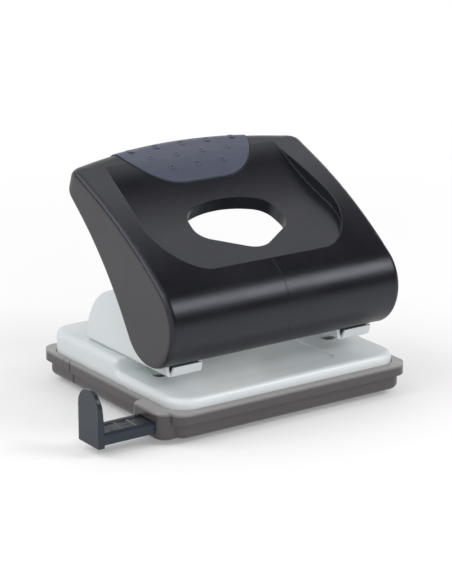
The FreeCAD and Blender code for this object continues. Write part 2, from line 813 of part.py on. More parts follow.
def clip_ring(body, plane, offset, groove_radius, outer_radius, thickness):
    """An open retaining ring, one clip thick, that snaps into a groove."""
    rings = [(0, 0, outer_radius), (0, 0, groove_radius)]
    ring = pad(body, "ring", body_sketch(body, "ring_outline", plane, circles=rings, offset=offset), thickness)
    half = groove_radius * 0.8
    mouth = body_sketch(body, "mouth_outline", plane, rectangle(-half, half, 0, outer_radius + 1), offset=offset)
    pocket(body, "mouth", mouth, thickness, backwards=True)
    return ring


def make_pin_clip(label, side):
    body = new_body(label, pin_x * side, pin_y)
    clip_ring(body, "XY", clip_base, pin_radius - 0.75, d.clip_diameter / 2, d.clip_thickness)
    return body


def make_return_spring(label, side):
    """Open-coiled return spring between the bush flange and the washer under the clip."""
    room = washer_base - flange_top
    helix = doc.addObject("Part::Helix", f"{label}_line")
    helix.setExpression("Radius", spring_radius.formula)
    helix.setExpression("Height", (room - d.spring_wire * 1.02).formula)
    helix.setExpression("Pitch", ((room - d.spring_wire * 1.02) / d.spring_turns).formula)
    wire = doc.addObject("Part::RegularPolygon", f"{label}_wire")
    wire.Polygon = 6
    wire.setExpression("Circumradius", (d.spring_wire / 2).formula)
    wire.Placement = FreeCAD.Placement(FreeCAD.Vector(), XZ)
    place(wire, x=spring_radius)
    coil = doc.addObject("Part::Sweep", label)
    coil.Sections = [wire]
    coil.Spine = (helix, ["Edge1"])
    coil.Solid = True
    coil.Frenet = True
    place(coil, pin_x * side, pin_y, flange_top + d.spring_wire * 0.51)
    return coil


def make_pivot_axle():
    """One round axle through both brackets, grooved at each end for a clip."""
    body = new_body("pivot_axle", y=pivot_y, z=d.pivot_height)
    radius = d.axle_diameter / 2
    seat = pin_x + d.bracket_width / 2 + d.running_gap
    groove_end = seat + d.clip_thickness + d.running_gap
    end = pin_x + d.bracket_width / 2 + d.axle_overhang
    half = [
        (seat, radius),
        (seat, radius - 0.6),
        (groove_end, radius - 0.6),
        (groove_end, radius),
        (end - 0.5, radius),
        (end, radius - 0.5),
        (end, 0),
    ]
    mirrored = [(-across, up) for across, up in reversed([(as_size(a), as_size(b)) for a, b in half])]
    turn(body, "axle", half + mirrored, axis="H_Axis")
    return body


def make_axle_clips():
    clips = []
    seat = pin_x + d.bracket_width / 2 + d.running_gap
    for side, side_name in ((-1, "left"), (1, "right")):
        body = new_body(f"{side_name}_axle_clip", y=pivot_y, z=d.pivot_height)
        offset = seat if side > 0 else -seat - d.clip_thickness
        clip_ring(body, "YZ", offset, d.axle_diameter / 2 - 0.55, d.clip_diameter / 2 - 0.6, d.clip_thickness)
        clips.append(body)
    return group("axle_clips", clips)


def make_axle_spacers():
    """Four nylon tubes that keep the lever arms midway between the cheeks."""
    spacers = []
    room = (bracket_inside - d.arm_thickness) / 2
    for side, side_name in ((-1, "left"), (1, "right")):
        for inner, place_name in ((-1, "first"), (1, "second")):
            middle = pin_x * side + (d.arm_thickness / 2 + room / 2) * inner
            rings = [(pivot_y, d.pivot_height, d.spacer_diameter / 2)]
            rings.append((pivot_y, d.pivot_height, d.axle_diameter / 2 + d.running_gap))
            body = new_body(f"{side_name}_{place_name}_spacer", x=middle)
            ring = body_sketch(body, "ring", "YZ", circles=rings)
            pad(body, "tube", ring, room - 0.1, side="Symmetric")
            spacers.append(body)
    return group("axle_spacers", spacers)


# ---------------------------------------------------------------- lever

def make_cam_nose(name, side):
    """Nose whose underside is an involute of the circle through the pin axis.

    A flat pin top that rides on it moves by the circle's radius times the angle, at every angle.
    """
    reach, start = d.cam_reach.value, d.cam_start.value
    last_roll = start + math.radians(d.handle_travel.value) + 0.08
    count = 12
    points = []
    for index in range(count + 1):
        roll = last_roll * index / count
        radius = reach * math.sqrt(1 + roll * roll)
        angle = roll - math.atan(roll) - start
        points.append(FreeCAD.Vector(0, radius * math.cos(angle), radius * math.sin(angle)))
    curve = Part.BSplineCurve()
    curve.interpolate(points)
    first, last = points[0], points[-1]
    hub = d.hub_diameter.value / 2
    back = [
        last,
        FreeCAD.Vector(0, last.y + 0.5, last.z + 3),
        FreeCAD.Vector(0, reach - 2, hub + 2),
        FreeCAD.Vector(0, 0, hub - 1),
        FreeCAD.Vector(0, 0, 1 - hub),
        FreeCAD.Vector(0, hub * 0.7, -hub * 0.6),
        FreeCAD.Vector(0, reach - 3, first.z + 0.3),
        first,
    ]
    outline = Part.Wire([curve.toShape()] + [Part.makeLine(a, b) for a, b in zip(back, back[1:])])
    thickness = d.arm_thickness.value
    nose = doc.addObject("Part::Feature", name)
    nose.Shape = Part.Face(outline).extrude(FreeCAD.Vector(thickness, 0, 0))
    place(nose, pin_x * side - d.arm_thickness / 2, pivot_y, d.pivot_height)
    return nose


def make_lever_frame():
    """Pressed steel lever: two cam arms on the axle, joined under the grip by a bridge."""
    slope_cos, slope_sin = cosine(d.bridge_slope), sine(d.bridge_slope)
    half = d.bridge_depth / 2
    front_top = (d.bridge_y - half * slope_cos, d.bridge_z - half * slope_sin)
    rear_top = (d.bridge_y + half * slope_cos, d.bridge_z + half * slope_sin)
    drop_y, drop_z = d.bridge_sheet * slope_sin, -d.bridge_sheet * slope_cos
    rear_low = (rear_top[0] + drop_y, rear_top[1] + drop_z)
    front_low = (front_top[0] + drop_y, front_top[1] + drop_z)
    half_width = pin_x + d.arm_thickness / 2
    bridge_sketch = free_sketch("bridge_outline", YZ, [front_top, front_low, rear_low, rear_top])
    solids = [extrusion("bridge", bridge_sketch, half_width * 2, symmetric=True)]
    hub = d.hub_diameter / 2
    arm_outline = [
        (pivot_y - hub * 0.7, d.pivot_height + hub * 0.65),
        (pivot_y + hub * 0.4, d.pivot_height - hub * 0.8),
        (pivot_y + d.cam_reach, d.pivot_height + 1.5),
        rear_low,
        rear_top,
        front_top,
    ]
    for side, side_name in ((-1, "left"), (1, "right")):
        inner_face = pin_x * side - d.arm_thickness / 2
        arm_sketch = free_sketch(f"{side_name}_arm_outline", YZ, arm_outline, base=(inner_face, None, None))
        solids.append(extrusion(f"{side_name}_arm", arm_sketch, d.arm_thickness))
        along_x = FreeCAD.Rotation(FreeCAD.Vector(0, 1, 0), 90)
        solids.append(cylinder(
            f"{side_name}_hub", hub, d.arm_thickness, inner_face, pivot_y, d.pivot_height, along_x))
        solids.append(make_cam_nose(f"{side_name}_cam_nose", side))
    blank = fuse("lever_blank", solids)
    along_x = FreeCAD.Rotation(FreeCAD.Vector(0, 1, 0), 90)
    bore = cylinder(
        "lever_bore", d.axle_diameter / 2 + d.running_gap, d.cover_width,
        -cover_x, pivot_y, d.pivot_height, along_x)
    bored = cut("bored_lever", blank, bore)
    holes = [(d.boss_spacing / 2 * side, 0, d.screw_diameter / 2 + 0.2) for side in (-1, 1)]
    hole_sketch = free_sketch(
        "screw_hole_outline", XY, circles=holes, base=(None, d.bridge_y, d.bridge_z), tilt=d.bridge_slope)
    drilled = extrusion("screw_holes", hole_sketch, 1, behind=d.bridge_sheet + 1)
    return cut("lever_frame", bored, drilled)


def make_lever_screws():
    """Two pan-head screws up through the bridge into the cover's bosses."""
    screws = []
    slope_cos, slope_sin = cosine(d.bridge_slope), sine(d.bridge_slope)
    tilt = FreeCAD.Rotation(FreeCAD.Vector(1, 0, 0), d.bridge_slope.value)
    below = d.bridge_sheet
    head_y, head_z = d.bridge_y + below * slope_sin, d.bridge_z - below * slope_cos
    foot_y = head_y + d.screw_head_height * slope_sin
    foot_z = head_z - d.screw_head_height * slope_cos
    for side, side_name in ((-1, "left"), (1, "right")):
        across = d.boss_spacing / 2 * side
        name = f"{side_name}_lever_screw"
        head = cylinder(f"{name}_head", d.screw_head / 2, d.screw_head_height, across, foot_y, foot_z, tilt)
        shank = cylinder(
            f"{name}_shank", d.screw_diameter / 2, d.bridge_sheet + d.screw_length, across, head_y, head_z, tilt)
        screws.append(fuse(name, [head, shank]))
    return group("lever_screws", screws)


# ---------------------------------------------------------------- handle cover, side panels and grip

def cover_outline(name, x=None, y=None, z=None):
    """Side outline of the handle: round nose over the axle, long crown, arched belly, tail run on to a point."""
    corners = [
        (d.nose_y, d.nose_z, d.nose_round),
        (d.chin_y, d.chin_z, d.chin_round),
        (d.belly_y, d.belly_z, d.belly_round),
        (d.tail_y, d.tail_z),
        (d.crown_y, d.crown_z, d.crown_round),
    ]
    return free_sketch(name, YZ, corners, base=(x, y, z))


def plan_prism(name, shrink):
    """The handle seen square to its crown: parallel sides, rounded rear corners and a bowed rear edge."""
    half = cover_x - shrink
    outline = [
        (-half, d.nose_y - 10),
        (half, d.nose_y - 10),
        (half, d.rear_side - shrink, d.rear_corner_round - shrink),
        (0, d.rear_middle - shrink, d.rear_bow - shrink),
        (-half, d.rear_side - shrink, d.rear_corner_round - shrink),
    ]
    sketch = free_sketch(f"{name}_outline", XY, outline, tilt=d.rear_slope)
    return extrusion(name, sketch, d.tail_z)


def dish_tool(name, grow):
    """What the dished recess removes from the top, or with a wall added, what must stay solid under it."""
    grow = as_size(grow)
    front = d.dish_front - grow
    plan = [
        (-d.dish_half_width - grow, front, d.dish_corner + grow),
        (d.dish_half_width + grow, front, d.dish_corner + grow),
        (d.dish_half_rear + grow, d.dish_rear + grow),
        (-d.dish_half_rear - grow, d.dish_rear + grow),
    ]
    column = extrusion(f"{name}_column", free_sketch(f"{name}_plan", XY, plan), d.tail_z + 20)
    drop = grow * 1.12
    slope = (d.dish_low_z - d.dish_front_z) / (d.dish_low_y - d.dish_front)
    floor = [
        (d.dish_front - 10, d.dish_front_z - slope * 10 - drop),
        (d.dish_low_y, d.dish_low_z - drop, d.dish_low_round),
        (d.dish_high_y, d.dish_high_z - drop, d.dish_high_round),
        (d.dish_rear + grow + 1, d.dish_rear_z - drop),
        (d.dish_rear + grow + 1, d.tail_z + 15),
        (d.dish_front - 10, d.tail_z + 15),
    ]
    above = extrusion(f"{name}_above", free_sketch(f"{name}_floor", YZ, floor), d.cover_width, symmetric=True)
    return common(name, column, above)


def window_prism(name, grow, up, down):
    """Finger window through the dish: domed above and a shallow vee below, square to the dish."""
    grow = as_size(grow)
    outline = [
        (0, as_size(6.2) - grow, as_size(10.0) + grow),
        (d.window_half_width + grow, as_size(19.5) - grow * 0.4, as_size(8.0) + grow),
        (d.window_half_width - 1.8 + grow, as_size(33.5) + grow * 0.6, as_size(9.0) + grow),
        (0, as_size(41.0) + grow, as_size(40.0)),
        (-d.window_half_width + 1.8 - grow, as_size(33.5) + grow * 0.6, as_size(9.0) + grow),
        (-d.window_half_width - grow, as_size(19.5) - grow * 0.4, as_size(8.0) + grow),
    ]
    base = (None, d.window_y, d.window_z)
    sketch = free_sketch(f"{name}_outline", XY, outline, base=base, tilt=d.window_slope)
    return extrusion(name, sketch, up, behind=down)


def grip_prism(name, grow):
    """Plan of the grip pad: a deep curve in front, running off the rear edge."""
    grow = as_size(grow)
    half = d.grip_half_width + grow
    outline = [
        (-half, d.grip_front - grow, d.grip_round + grow),
        (half, d.grip_front - grow, d.grip_round + grow),
        (half, d.tail_y),
        (-half, d.tail_y),
    ]
    base = (None, None, d.grip_bottom - grow)
    return extrusion(name, free_sketch(f"{name}_outline", XY, outline, base=base), 30)


def make_cover_blank(name, grow=None):
    """The handle's outer form with its edges rounded, moved outwards all round if grow is given."""
    grow = as_size(grow or 0)
    outline = cover_outline(f"{name}_source")
    if grow.value:
        outline = inset(f"{name}_outline", outline, -grow)
    side = extrusion(f"{name}_side", outline, (cover_x + grow) * 2, symmetric=True)
    squared = common(f"{name}_squared", side, plan_prism(f"{name}_plan", -grow))
    doc.recompute()
    slope = math.radians(d.rear_slope.value)
    upright = FreeCAD.Vector(0, -math.sin(slope), math.cos(slope))

    def is_seam(edge):
        """True of the straight edges between faces that run smoothly into each other."""
        if not isinstance(edge.Curve, Part.Line):
            return False
        run = edge.tangentAt(edge.FirstParameter)
        return abs(run.x) > 0.9999 or abs(run.dot(upright)) > 0.9999

    def radius_at(edge, point):
        """The rear edge is rounder than the sides, and rounder above than below."""
        if abs(point.x) > (cover_x + grow).value - 0.01:
            return d.cover_edge_round.value
        above = edge.CenterOfMass.z > d.rear_split.value
        return (d.rear_top_round if above else d.rear_low_round).value

    rounded = doc.addObject("Part::Fillet", f"{name}_rounded")
    rounded.Base = squared
    rounds = []
    for index, edge in enumerate(squared.Shape.Edges, start=1):
        if not is_seam(edge):
            ends = edge.valueAt(edge.LastParameter), edge.valueAt(edge.FirstParameter)
            rounds.append((index, radius_at(edge, ends[0]), radius_at(edge, ends[1])))
    rounded.Edges = rounds
    doc.recompute()
    return rounded


def make_cover_cavity():
    """Everything hollow inside the cover: open below, with a wall kept under the dish."""
    inner_width = (cover_x - side_wall) * 2
    inner_outline = inset("cavity_outline", cover_outline("cavity_source"), d.cover_wall)
    inner = extrusion("cavity_side", inner_outline, inner_width, symmetric=True)
    skirt_inside = d.bracket_front - 0.6
    mouth_outline = [
        (d.nose_y - 10, d.skirt_height),
        (skirt_inside, d.skirt_height),
        (skirt_inside, d.skirt_height + 3),
        (d.chin_y + 8.8, d.skirt_height + 3),
        (d.belly_y - 8.6, d.belly_z - 3.2),
        (24, 81.4),
        (34, 68),
        (34, 0),
        (d.nose_y - 10, 0),
    ]
    mouth = extrusion("cover_mouth", free_sketch("mouth_outline", YZ, mouth_outline), inner_width, symmetric=True)
    hollow = fuse("cavity_whole", [inner, mouth])
    trimmed = common("cavity_trimmed", hollow, plan_prism("cavity_plan", d.cover_wall))
    return cut("cover_cavity", trimmed, dish_tool("dish_backing", d.cover_wall))


def make_cover_ribs():
    """Two ribs inside the cover that seat it on the axle."""
    ribs = []
    limit = [
        (d.nose_y - 10, d.rib_bottom),
        (pivot_y + 6, d.rib_bottom),
        (-4, 52.5),
        (-8, 62),
        (-8, 90),
        (d.nose_y - 10, 90),
    ]
    for side, side_name in ((-1, "left"), (1, "right")):
        face = rib_x * side - d.rib_thickness / 2
        name = f"{side_name}_cover_rib"
        outline = inset(f"{name}_outline", cover_outline(f"{name}_source", face), d.cover_wall / 2)
        blank = extrusion(f"{name}_blank", outline, d.rib_thickness)
        fence = extrusion(
            f"{name}_fence", free_sketch(f"{name}_limit", YZ, limit, base=(face - 1, None, None)), d.rib_thickness + 2)
        ribs.append(common(name, blank, fence))
    return ribs


def make_handle_cover(blank):
    """Moulded cover: hollow shell with a dished top, a finger window, and seats for panels and pad."""
    shell = cut("cover_shell", blank, make_cover_cavity())
    tilt = FreeCAD.Rotation(FreeCAD.Vector(1, 0, 0), d.bridge_slope.value)
    inner_parts = make_cover_ribs()
    bores = []
    for side, side_name in ((-1, "left"), (1, "right")):
        across = d.boss_spacing / 2 * side
        inner_parts.append(cylinder(
            f"{side_name}_boss", d.boss_diameter / 2, d.boss_height, across, d.bridge_y, d.bridge_z, tilt))
        bores.append(cylinder(
            f"{side_name}_boss_bore", d.screw_diameter / 2 + d.running_gap, d.screw_length + 0.3,
            across, d.bridge_y, d.bridge_z, tilt))
    inner_parts.append(window_prism("window_collar", d.window_collar, 3, d.window_depth))
    whole = fuse("cover_with_ribs", [shell] + inner_parts)
    along_x = FreeCAD.Rotation(FreeCAD.Vector(0, 1, 0), 90)
    axle_bore = cylinder(
        "rib_axle_bore", d.axle_diameter / 2 + d.rib_axle_gap, rib_x * 2 + 10,
        -rib_x - 5, pivot_y, d.pivot_height, along_x)
    window = window_prism("window", 0, 12, d.window_depth + 6)
    tools = [dish_tool("dish", 0), window, axle_bore] + bores
    for side, side_name in ((-1, "left"), (1, "right")):
        face = -cover_x - 1 if side < 0 else cover_x - d.panel_thickness
        outline = cover_outline(f"{side_name}_seat_outline", face, d.panel_back, -d.panel_drop)
        tools.append(extrusion(f"{side_name}_panel_seat", outline, d.panel_thickness + 1))
    seat_core = grip_core("grip_seat_core", d.grip_sink)
    tools.append(cut("grip_seat", grip_prism("grip_seat_prism", d.grip_gap), seat_core))
    result = whole
    for index, tool in enumerate(tools, start=1):
        name = "handle_cover" if index == len(tools) else f"cover_stage_{index}"
        result = cut(name, result, tool)
    return result


def make_side_panel(label, side, blank):
    """Flat panel let into the side of the cover, under its crown and nose and flush with it elsewhere."""
    face = -cover_x if side < 0 else cover_x - d.panel_thickness
    source = cover_outline(f"{label}_source", face, d.panel_back, -d.panel_drop)
    outline = inset(f"{label}_outline", source, d.panel_gap)
    plate = extrusion(f"{label}_blank", outline, d.panel_thickness)
    doc.recompute()
    outer_x = cover_x.value * side
    rim = doc.addObject("Part::Fillet", f"{label}_rim")
    rim.Base = plate
    rim.Edges = [
        (index, d.panel_round.value, d.panel_round.value)
        for index, edge in enumerate(plate.Shape.Edges, start=1)
        if all(abs(vertex.Point.x - outer_x) < 1e-4 for vertex in edge.Vertexes)
    ]
    return common(label, rim, blank)


def grip_core(name, sink):
    """What lies deeper than that under the handle's skin, the dished recess included."""
    outline = inset(f"{name}_outline", cover_outline(f"{name}_source"), sink)
    side = extrusion(f"{name}_side", outline, d.cover_width, symmetric=True)
    trimmed = common(f"{name}_trimmed", side, plan_prism(f"{name}_plan", sink))
    return cut(name, trimmed, dish_tool(f"{name}_dish", sink))


def make_grip_pad():
    """Soft pad let into the dish and wrapped over the rear edge, a little proud of the cover."""
    skin = cut("grip_skin", make_cover_blank("grip_blank", d.grip_proud), dish_tool("grip_dish", -d.grip_proud))
    ring = cut("grip_ring", skin, grip_core("grip_pad_core", d.grip_sink - d.grip_gap))
    return common("grip_pad", ring, grip_prism("grip_prism", 0))


def main():
    pieces = [make_chip_tray(), make_paper_guide(), make_base_plate()]
    for side, side_name in ((-1, "left"), (1, "right")):
        pieces.append(make_bracket(f"{side_name}_bracket", side))
        pieces.append(make_guide_bush(f"{side_name}_guide_bush", side))
        pieces.append(make_punch_pin(f"{side_name}_punch_pin", side))
        pieces.append(make_spring_washer(f"{side_name}_spring_washer", side))
        pieces.append(make_pin_clip(f"{side_name}_pin_clip", side))
        pieces.append(make_return_spring(f"{side_name}_return_spring", side))
    pieces += [make_bracket_rivets(), make_pivot_axle(), make_axle_clips(), make_axle_spacers()]
    pieces += [make_lever_frame(), make_lever_screws()]
    blank = make_cover_blank("cover_blank")
    pieces.append(make_handle_cover(blank))
    for side, side_name in ((-1, "left"), (1, "right")):
        pieces.append(make_side_panel(f"{side_name}_side_panel", side, blank))
    pieces.append(make_grip_pad())
    doc.recompute()
    export(pieces)


def export(pieces):
    """Checks the whole document, then writes one STEP file for each piece."""
    for item in doc.Objects:
        if "Invalid" in item.State or "Error" in item.State:
            raise RuntimeError(f"{item.Label} failed: {item.State}")
    for piece in pieces:
        if piece.Shape.isNull() or not piece.Shape.isValid() or not piece.Shape.Solids:
            raise RuntimeError(f"{piece.Label} has no valid solid")
    os.makedirs("parts", exist_ok=True)
    for piece in pieces:
        piece.Shape.exportStep(f"parts/{piece.Label}.step")
        print(f"{piece.Label}: {len(piece.Shape.Solids)} solids, {piece.Shape.Volume:.1f} mm3")


if __name__ == "__main__":
    main()
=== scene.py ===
"""Finishes, small surface details and a plain studio for a two-hole desk punch."""
import math

import bmesh
import bpy
from bpy.props import FloatProperty, FloatVectorProperty, IntProperty, PointerProperty
from mathutils import Euler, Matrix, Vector


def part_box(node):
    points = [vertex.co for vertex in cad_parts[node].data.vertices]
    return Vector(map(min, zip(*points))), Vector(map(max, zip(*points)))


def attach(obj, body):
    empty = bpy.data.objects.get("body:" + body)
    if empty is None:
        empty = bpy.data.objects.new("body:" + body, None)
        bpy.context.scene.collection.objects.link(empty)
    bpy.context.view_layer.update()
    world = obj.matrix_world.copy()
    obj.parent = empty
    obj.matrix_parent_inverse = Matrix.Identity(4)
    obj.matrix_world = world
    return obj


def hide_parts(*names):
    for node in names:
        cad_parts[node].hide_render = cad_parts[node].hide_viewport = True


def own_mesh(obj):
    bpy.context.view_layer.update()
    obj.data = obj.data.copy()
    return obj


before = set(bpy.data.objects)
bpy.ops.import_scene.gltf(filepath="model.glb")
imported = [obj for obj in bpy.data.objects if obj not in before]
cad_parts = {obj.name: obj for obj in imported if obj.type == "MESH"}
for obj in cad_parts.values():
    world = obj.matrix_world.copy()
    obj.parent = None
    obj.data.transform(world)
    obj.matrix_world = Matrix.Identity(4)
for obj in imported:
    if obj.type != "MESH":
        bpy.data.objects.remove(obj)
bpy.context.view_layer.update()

bl_info = {
    "name": "Desk Punch Finishes",
    "version": (1, 0, 0),
    "blender": (4, 5, 0),
    "location": "3D View > Sidebar > Punch",
    "description": "Finishes, grip skin and pips, guide scale, springs and studio of a desk punch",
    "category": "Object",
}

MM = 0.001


# ---------------------------------------------------------------- settings

def colour(name, description, default):
    return FloatVectorProperty(
        name=name, description=description, default=default, subtype="COLOR", min=0.0, max=1.0
    )


def length(name, description, default):
    return FloatProperty(name=name, description=description, default=default, unit="LENGTH")


def share(name, description, default):
    return FloatProperty(
        name=name, description=description, default=default, min=0.0, max=1.0, subtype="FACTOR"
    )


class PunchFinishes(bpy.types.PropertyGroup):
    """Colours and gloss of the punch's own finishes."""

    cover: colour("Cover", "Black moulded cover", (0.0035, 0.0035, 0.0065))
    cover_gloss: share("Cover Roughness", "How matt the textured cover is", 0.30)
    panel: colour("Side Panel", "Charcoal side panels", (0.038, 0.0345, 0.039))
    grip: colour("Grip", "Blue-grey soft grip", (0.052, 0.062, 0.098))
    steel: colour("Plated Steel", "Satin plated bed and brackets", (0.70, 0.745, 0.76))
    bright: colour("Bright Steel", "Ground pins and axle", (0.62, 0.61, 0.60))
    brass: colour("Bush", "Guide bushes", (0.62, 0.43, 0.17))
    nylon: colour("Spacer", "Nylon axle spacers", (0.72, 0.70, 0.64))
    tray: colour("Chip Tray", "Smoke tinted tray", (0.098, 0.087, 0.090))
    guide: colour("Paper Guide", "Slate paper guide", (0.018, 0.026, 0.038))


class PunchDetails(bpy.types.PropertyGroup):
    """Sizes of the small details."""

    pip_diameter: length("Pip Diameter", "Width of one grip pip", 3.5 * MM)
    pip_height: length("Pip Height", "Height of a pip's lip", 0.22 * MM)
    pip_pitch: length("Pip Pitch", "Spacing along a row of pips", 12.0 * MM)
    line_width: length("Scale Line", "Width of a line on the guide's scale", 0.42 * MM)
    numeral_size: length("Numeral Size", "Height of the guide's numerals", 1.8 * MM)
    print_height: length("Print Height", "How far printed marks stand up", 0.05 * MM)
    spring_wire: length("Spring Wire", "Wire of the return springs", 1.0 * MM)
    spring_turns: FloatProperty(name="Spring Turns", description="Turns of a spring", default=5.4)
    sides: IntProperty(name="Round Sides", description="Sides of a small round", default=28, min=8)


class PunchStudio(bpy.types.PropertyGroup):
    """The floor, the lamps and the camera."""

    floor: colour("Floor", "Pale floor", (0.80, 0.80, 0.80))
    sky: FloatProperty(name="Surround", description="Light of the white surround", default=0.64)
    high: FloatProperty(name="High Left", description="Power of the high left lamp", default=4.4)
    key: FloatProperty(name="Key", description="Power of the front right lamp", default=4.0)
    fill: FloatProperty(name="Fill", description="Power of the low front lamp", default=2.4)
    lens: FloatProperty(name="Lens", description="Lens in millimetres", default=133.77)
    turn: FloatProperty(
        name="Turn", description="Camera bearing", default=math.radians(-34.71), subtype="ANGLE"
    )
    tilt: FloatProperty(
        name="Tilt", description="Camera height angle", default=math.radians(16.85), subtype="ANGLE"
    )


# ---------------------------------------------------------------- node helpers

def node(tree, kind, inputs=None, **settings):
    """Adds a node; an input takes a value or another node's output."""
    made = tree.nodes.new(kind)
    for name, value in settings.items():
        setattr(made, name, value)
    for key, value in (inputs or {}).items():
        if isinstance(value, bpy.types.NodeSocket):
            tree.links.new(value, made.inputs[key])
        else:
            made.inputs[key].default_value = value
    return made


def sums(tree, operation, first, second=0.0, clamp=False):
    """One step of arithmetic on values or outputs."""
    return node(
        tree, "ShaderNodeMath", {0: first, 1: second}, operation=operation, use_clamp=clamp
    ).outputs[0]


def ramp(tree, value, start, end, low=0.0, high=1.0):
    """Eases value from start..end to low..high."""
    return node(
        tree,
        "ShaderNodeMapRange",
        {"Value": value, "From Min": start, "From Max": end, "To Min": low, "To Max": high},
        interpolation_type="SMOOTHSTEP",
    ).outputs[0]


def mixed(tree, factor, first, second):
    """One colour fading into another."""
    made = node(tree, "ShaderNodeMix", {0: factor}, data_type="RGBA")
    for socket, value in ((made.inputs[6], first), (made.inputs[7], second)):
        if isinstance(value, bpy.types.NodeSocket):
            tree.links.new(value, socket)
        else:
            socket.default_value = (*value[:3], 1.0)
    return made.outputs[2]


def new_group(name, inputs, outputs):
    """A shader node group with its ends; inputs are (name, default)."""
    group = bpy.data.node_groups.new(name, "ShaderNodeTree")
    for label, default in inputs:
        socket = group.interface.new_socket(label, in_out="INPUT", socket_type="NodeSocketFloat")
        socket.default_value = default
    for label in outputs:
        group.interface.new_socket(label, in_out="OUTPUT", socket_type="NodeSocketFloat")
    return group, group.nodes.new("NodeGroupInput").outputs, group.nodes.new("NodeGroupOutput")


def object_coords(tree):
    return node(tree, "ShaderNodeTexCoord").outputs["Object"]


def place_group(tree, group, **values):
    """Puts a shared effect into a material with its own sizes; returns its outputs."""
    made = node(tree, "ShaderNodeGroup", node_tree=group)
    for name, value in values.items():
        made.inputs[name.replace("_", " ").title()].default_value = value
    return made.outputs


def stripe(tree, value, centre, half, soft):
    """A mask: 1 within half of centre, fading over soft."""
    away = sums(tree, "ABSOLUTE", sums(tree, "SUBTRACT", value, centre))
    return ramp(tree, away, half, half + soft, 1.0, 0.0)


def shade(tone, factor):
    """A colour made darker or lighter."""
    return [min(1.0, c * factor) for c in tone]


def toned(tree, mask, tone, low, high):
    """A colour that drifts between two shades of itself."""
    return mixed(tree, mask, shade(tone, low), shade(tone, high))


def laid_over(tree, tint, mask, amount, over):
    """Another colour over the first, as strong as amount where the mask is full."""
    return mixed(tree, sums(tree, "MULTIPLY", mask, amount), tint, over)


def raised(tree, level, mask, amount):
    """A level that rises by amount where the mask is full."""
    return sums(tree, "ADD", sums(tree, "MULTIPLY", mask, amount), level)


def rounded(tree, radius):
    """The surface's normal with its sharp edges rounded."""
    return node(tree, "ShaderNodeBevel", {"Radius": radius}, samples=4).outputs[0]


def bump(tree, height, distance, normal=None):
    """A normal that follows a height; distance is how deep the full height is."""
    inputs = {"Height": height, "Distance": distance, "Strength": 1.0}
    if normal is not None:
        inputs["Normal"] = normal
    return node(tree, "ShaderNodeBump", inputs).outputs[0]


def plug(tree, shader, **inputs):
    """Sets the shader's sockets, named with _ for a space, to values or outputs."""
    for name, value in inputs.items():
        socket = shader.inputs[name.replace("_", " ")]
        if isinstance(value, bpy.types.NodeSocket):
            tree.links.new(value, socket)
        else:
            socket.default_value = value


# ---------------------------------------------------------------- shared effects

def grain_group():
    """Fine pitted mould texture, with a broad change of tone and light flecks for painted glints.
    """
    group, given, end = new_group(
        "Moulded Grain",
        [("Cell Size", 0.5 * MM), ("Tone Size", 20 * MM)],
        ["Height", "Tone", "Painted Glint"],
    )
    coords = object_coords(group)
    fine = sums(group, "DIVIDE", 1.0, given["Cell Size"])
    pits = node(
        group,
        "ShaderNodeTexNoise",
        {"Vector": coords, "Scale": fine, "Detail": 1.5, "Roughness": 0.5},
    )
    broad = node(
        group,
        "ShaderNodeTexNoise",
        {"Vector": coords, "Scale": sums(group, "DIVIDE", 1.0, given["Tone Size"]), "Detail": 3.0},
    )
    group.links.new(pits.outputs[0], end.inputs["Height"])
    group.links.new(broad.outputs[0], end.inputs["Tone"])
    group.links.new(ramp(group, pits.outputs[0], 0.56, 0.72), end.inputs["Painted Glint"])
    return group


def painted_edge_group():
    """Finds edges by how far a rounded normal leans from the true one, for painted edge highlights
    and shade.
    """
    group, given, end = new_group("Painted Edge Light", [("Reach", 0.6 * MM)], ["Edge"])
    true_normal = node(group, "ShaderNodeNewGeometry").outputs["Normal"]
    lean = node(
        group,
        "ShaderNodeVectorMath",
        {0: rounded(group, given["Reach"]), 1: true_normal},
        operation="DOT_PRODUCT",
    )
    broken = node(
        group, "ShaderNodeTexNoise", {"Vector": object_coords(group), "Scale": 260.0, "Detail": 4.0}
    )
    edge = ramp(group, lean.outputs["Value"], 0.99, 0.86)
    edge = sums(group, "MULTIPLY", edge, ramp(group, broken.outputs[0], 0.30, 0.62, 0.45, 1.0))
    group.links.new(edge, end.inputs["Edge"])
    return group


def handling_group():
    """Soft smears and a little settled dust."""
    group, given, end = new_group(
        "Handling Marks", [("Smear Size", 18 * MM), ("Dust Size", 1.6 * MM)], ["Smear", "Dust"]
    )
    coords = object_coords(group)
    smear = node(
        group,
        "ShaderNodeTexNoise",
        {
            "Vector": coords,
            "Scale": sums(group, "DIVIDE", 1.0, given["Smear Size"]),
            "Detail": 5.0,
            "Distortion": 0.8,
        },
    )
    specks = node(
        group,
        "ShaderNodeTexNoise",
        {"Vector": coords, "Scale": sums(group, "DIVIDE", 1.0, given["Dust Size"]), "Detail": 2.0},
    )
    up = node(
        group, "ShaderNodeSeparateXYZ", {0: node(group, "ShaderNodeNewGeometry").outputs["Normal"]}
    ).outputs["Z"]
    dust = ramp(group, specks.outputs[0], 0.52, 0.78)
    dust = sums(group, "MULTIPLY", dust, ramp(group, up, 0.2, 0.9))
    group.links.new(ramp(group, smear.outputs[0], 0.35, 0.70), end.inputs["Smear"])
    group.links.new(dust, end.inputs["Dust"])
    return group


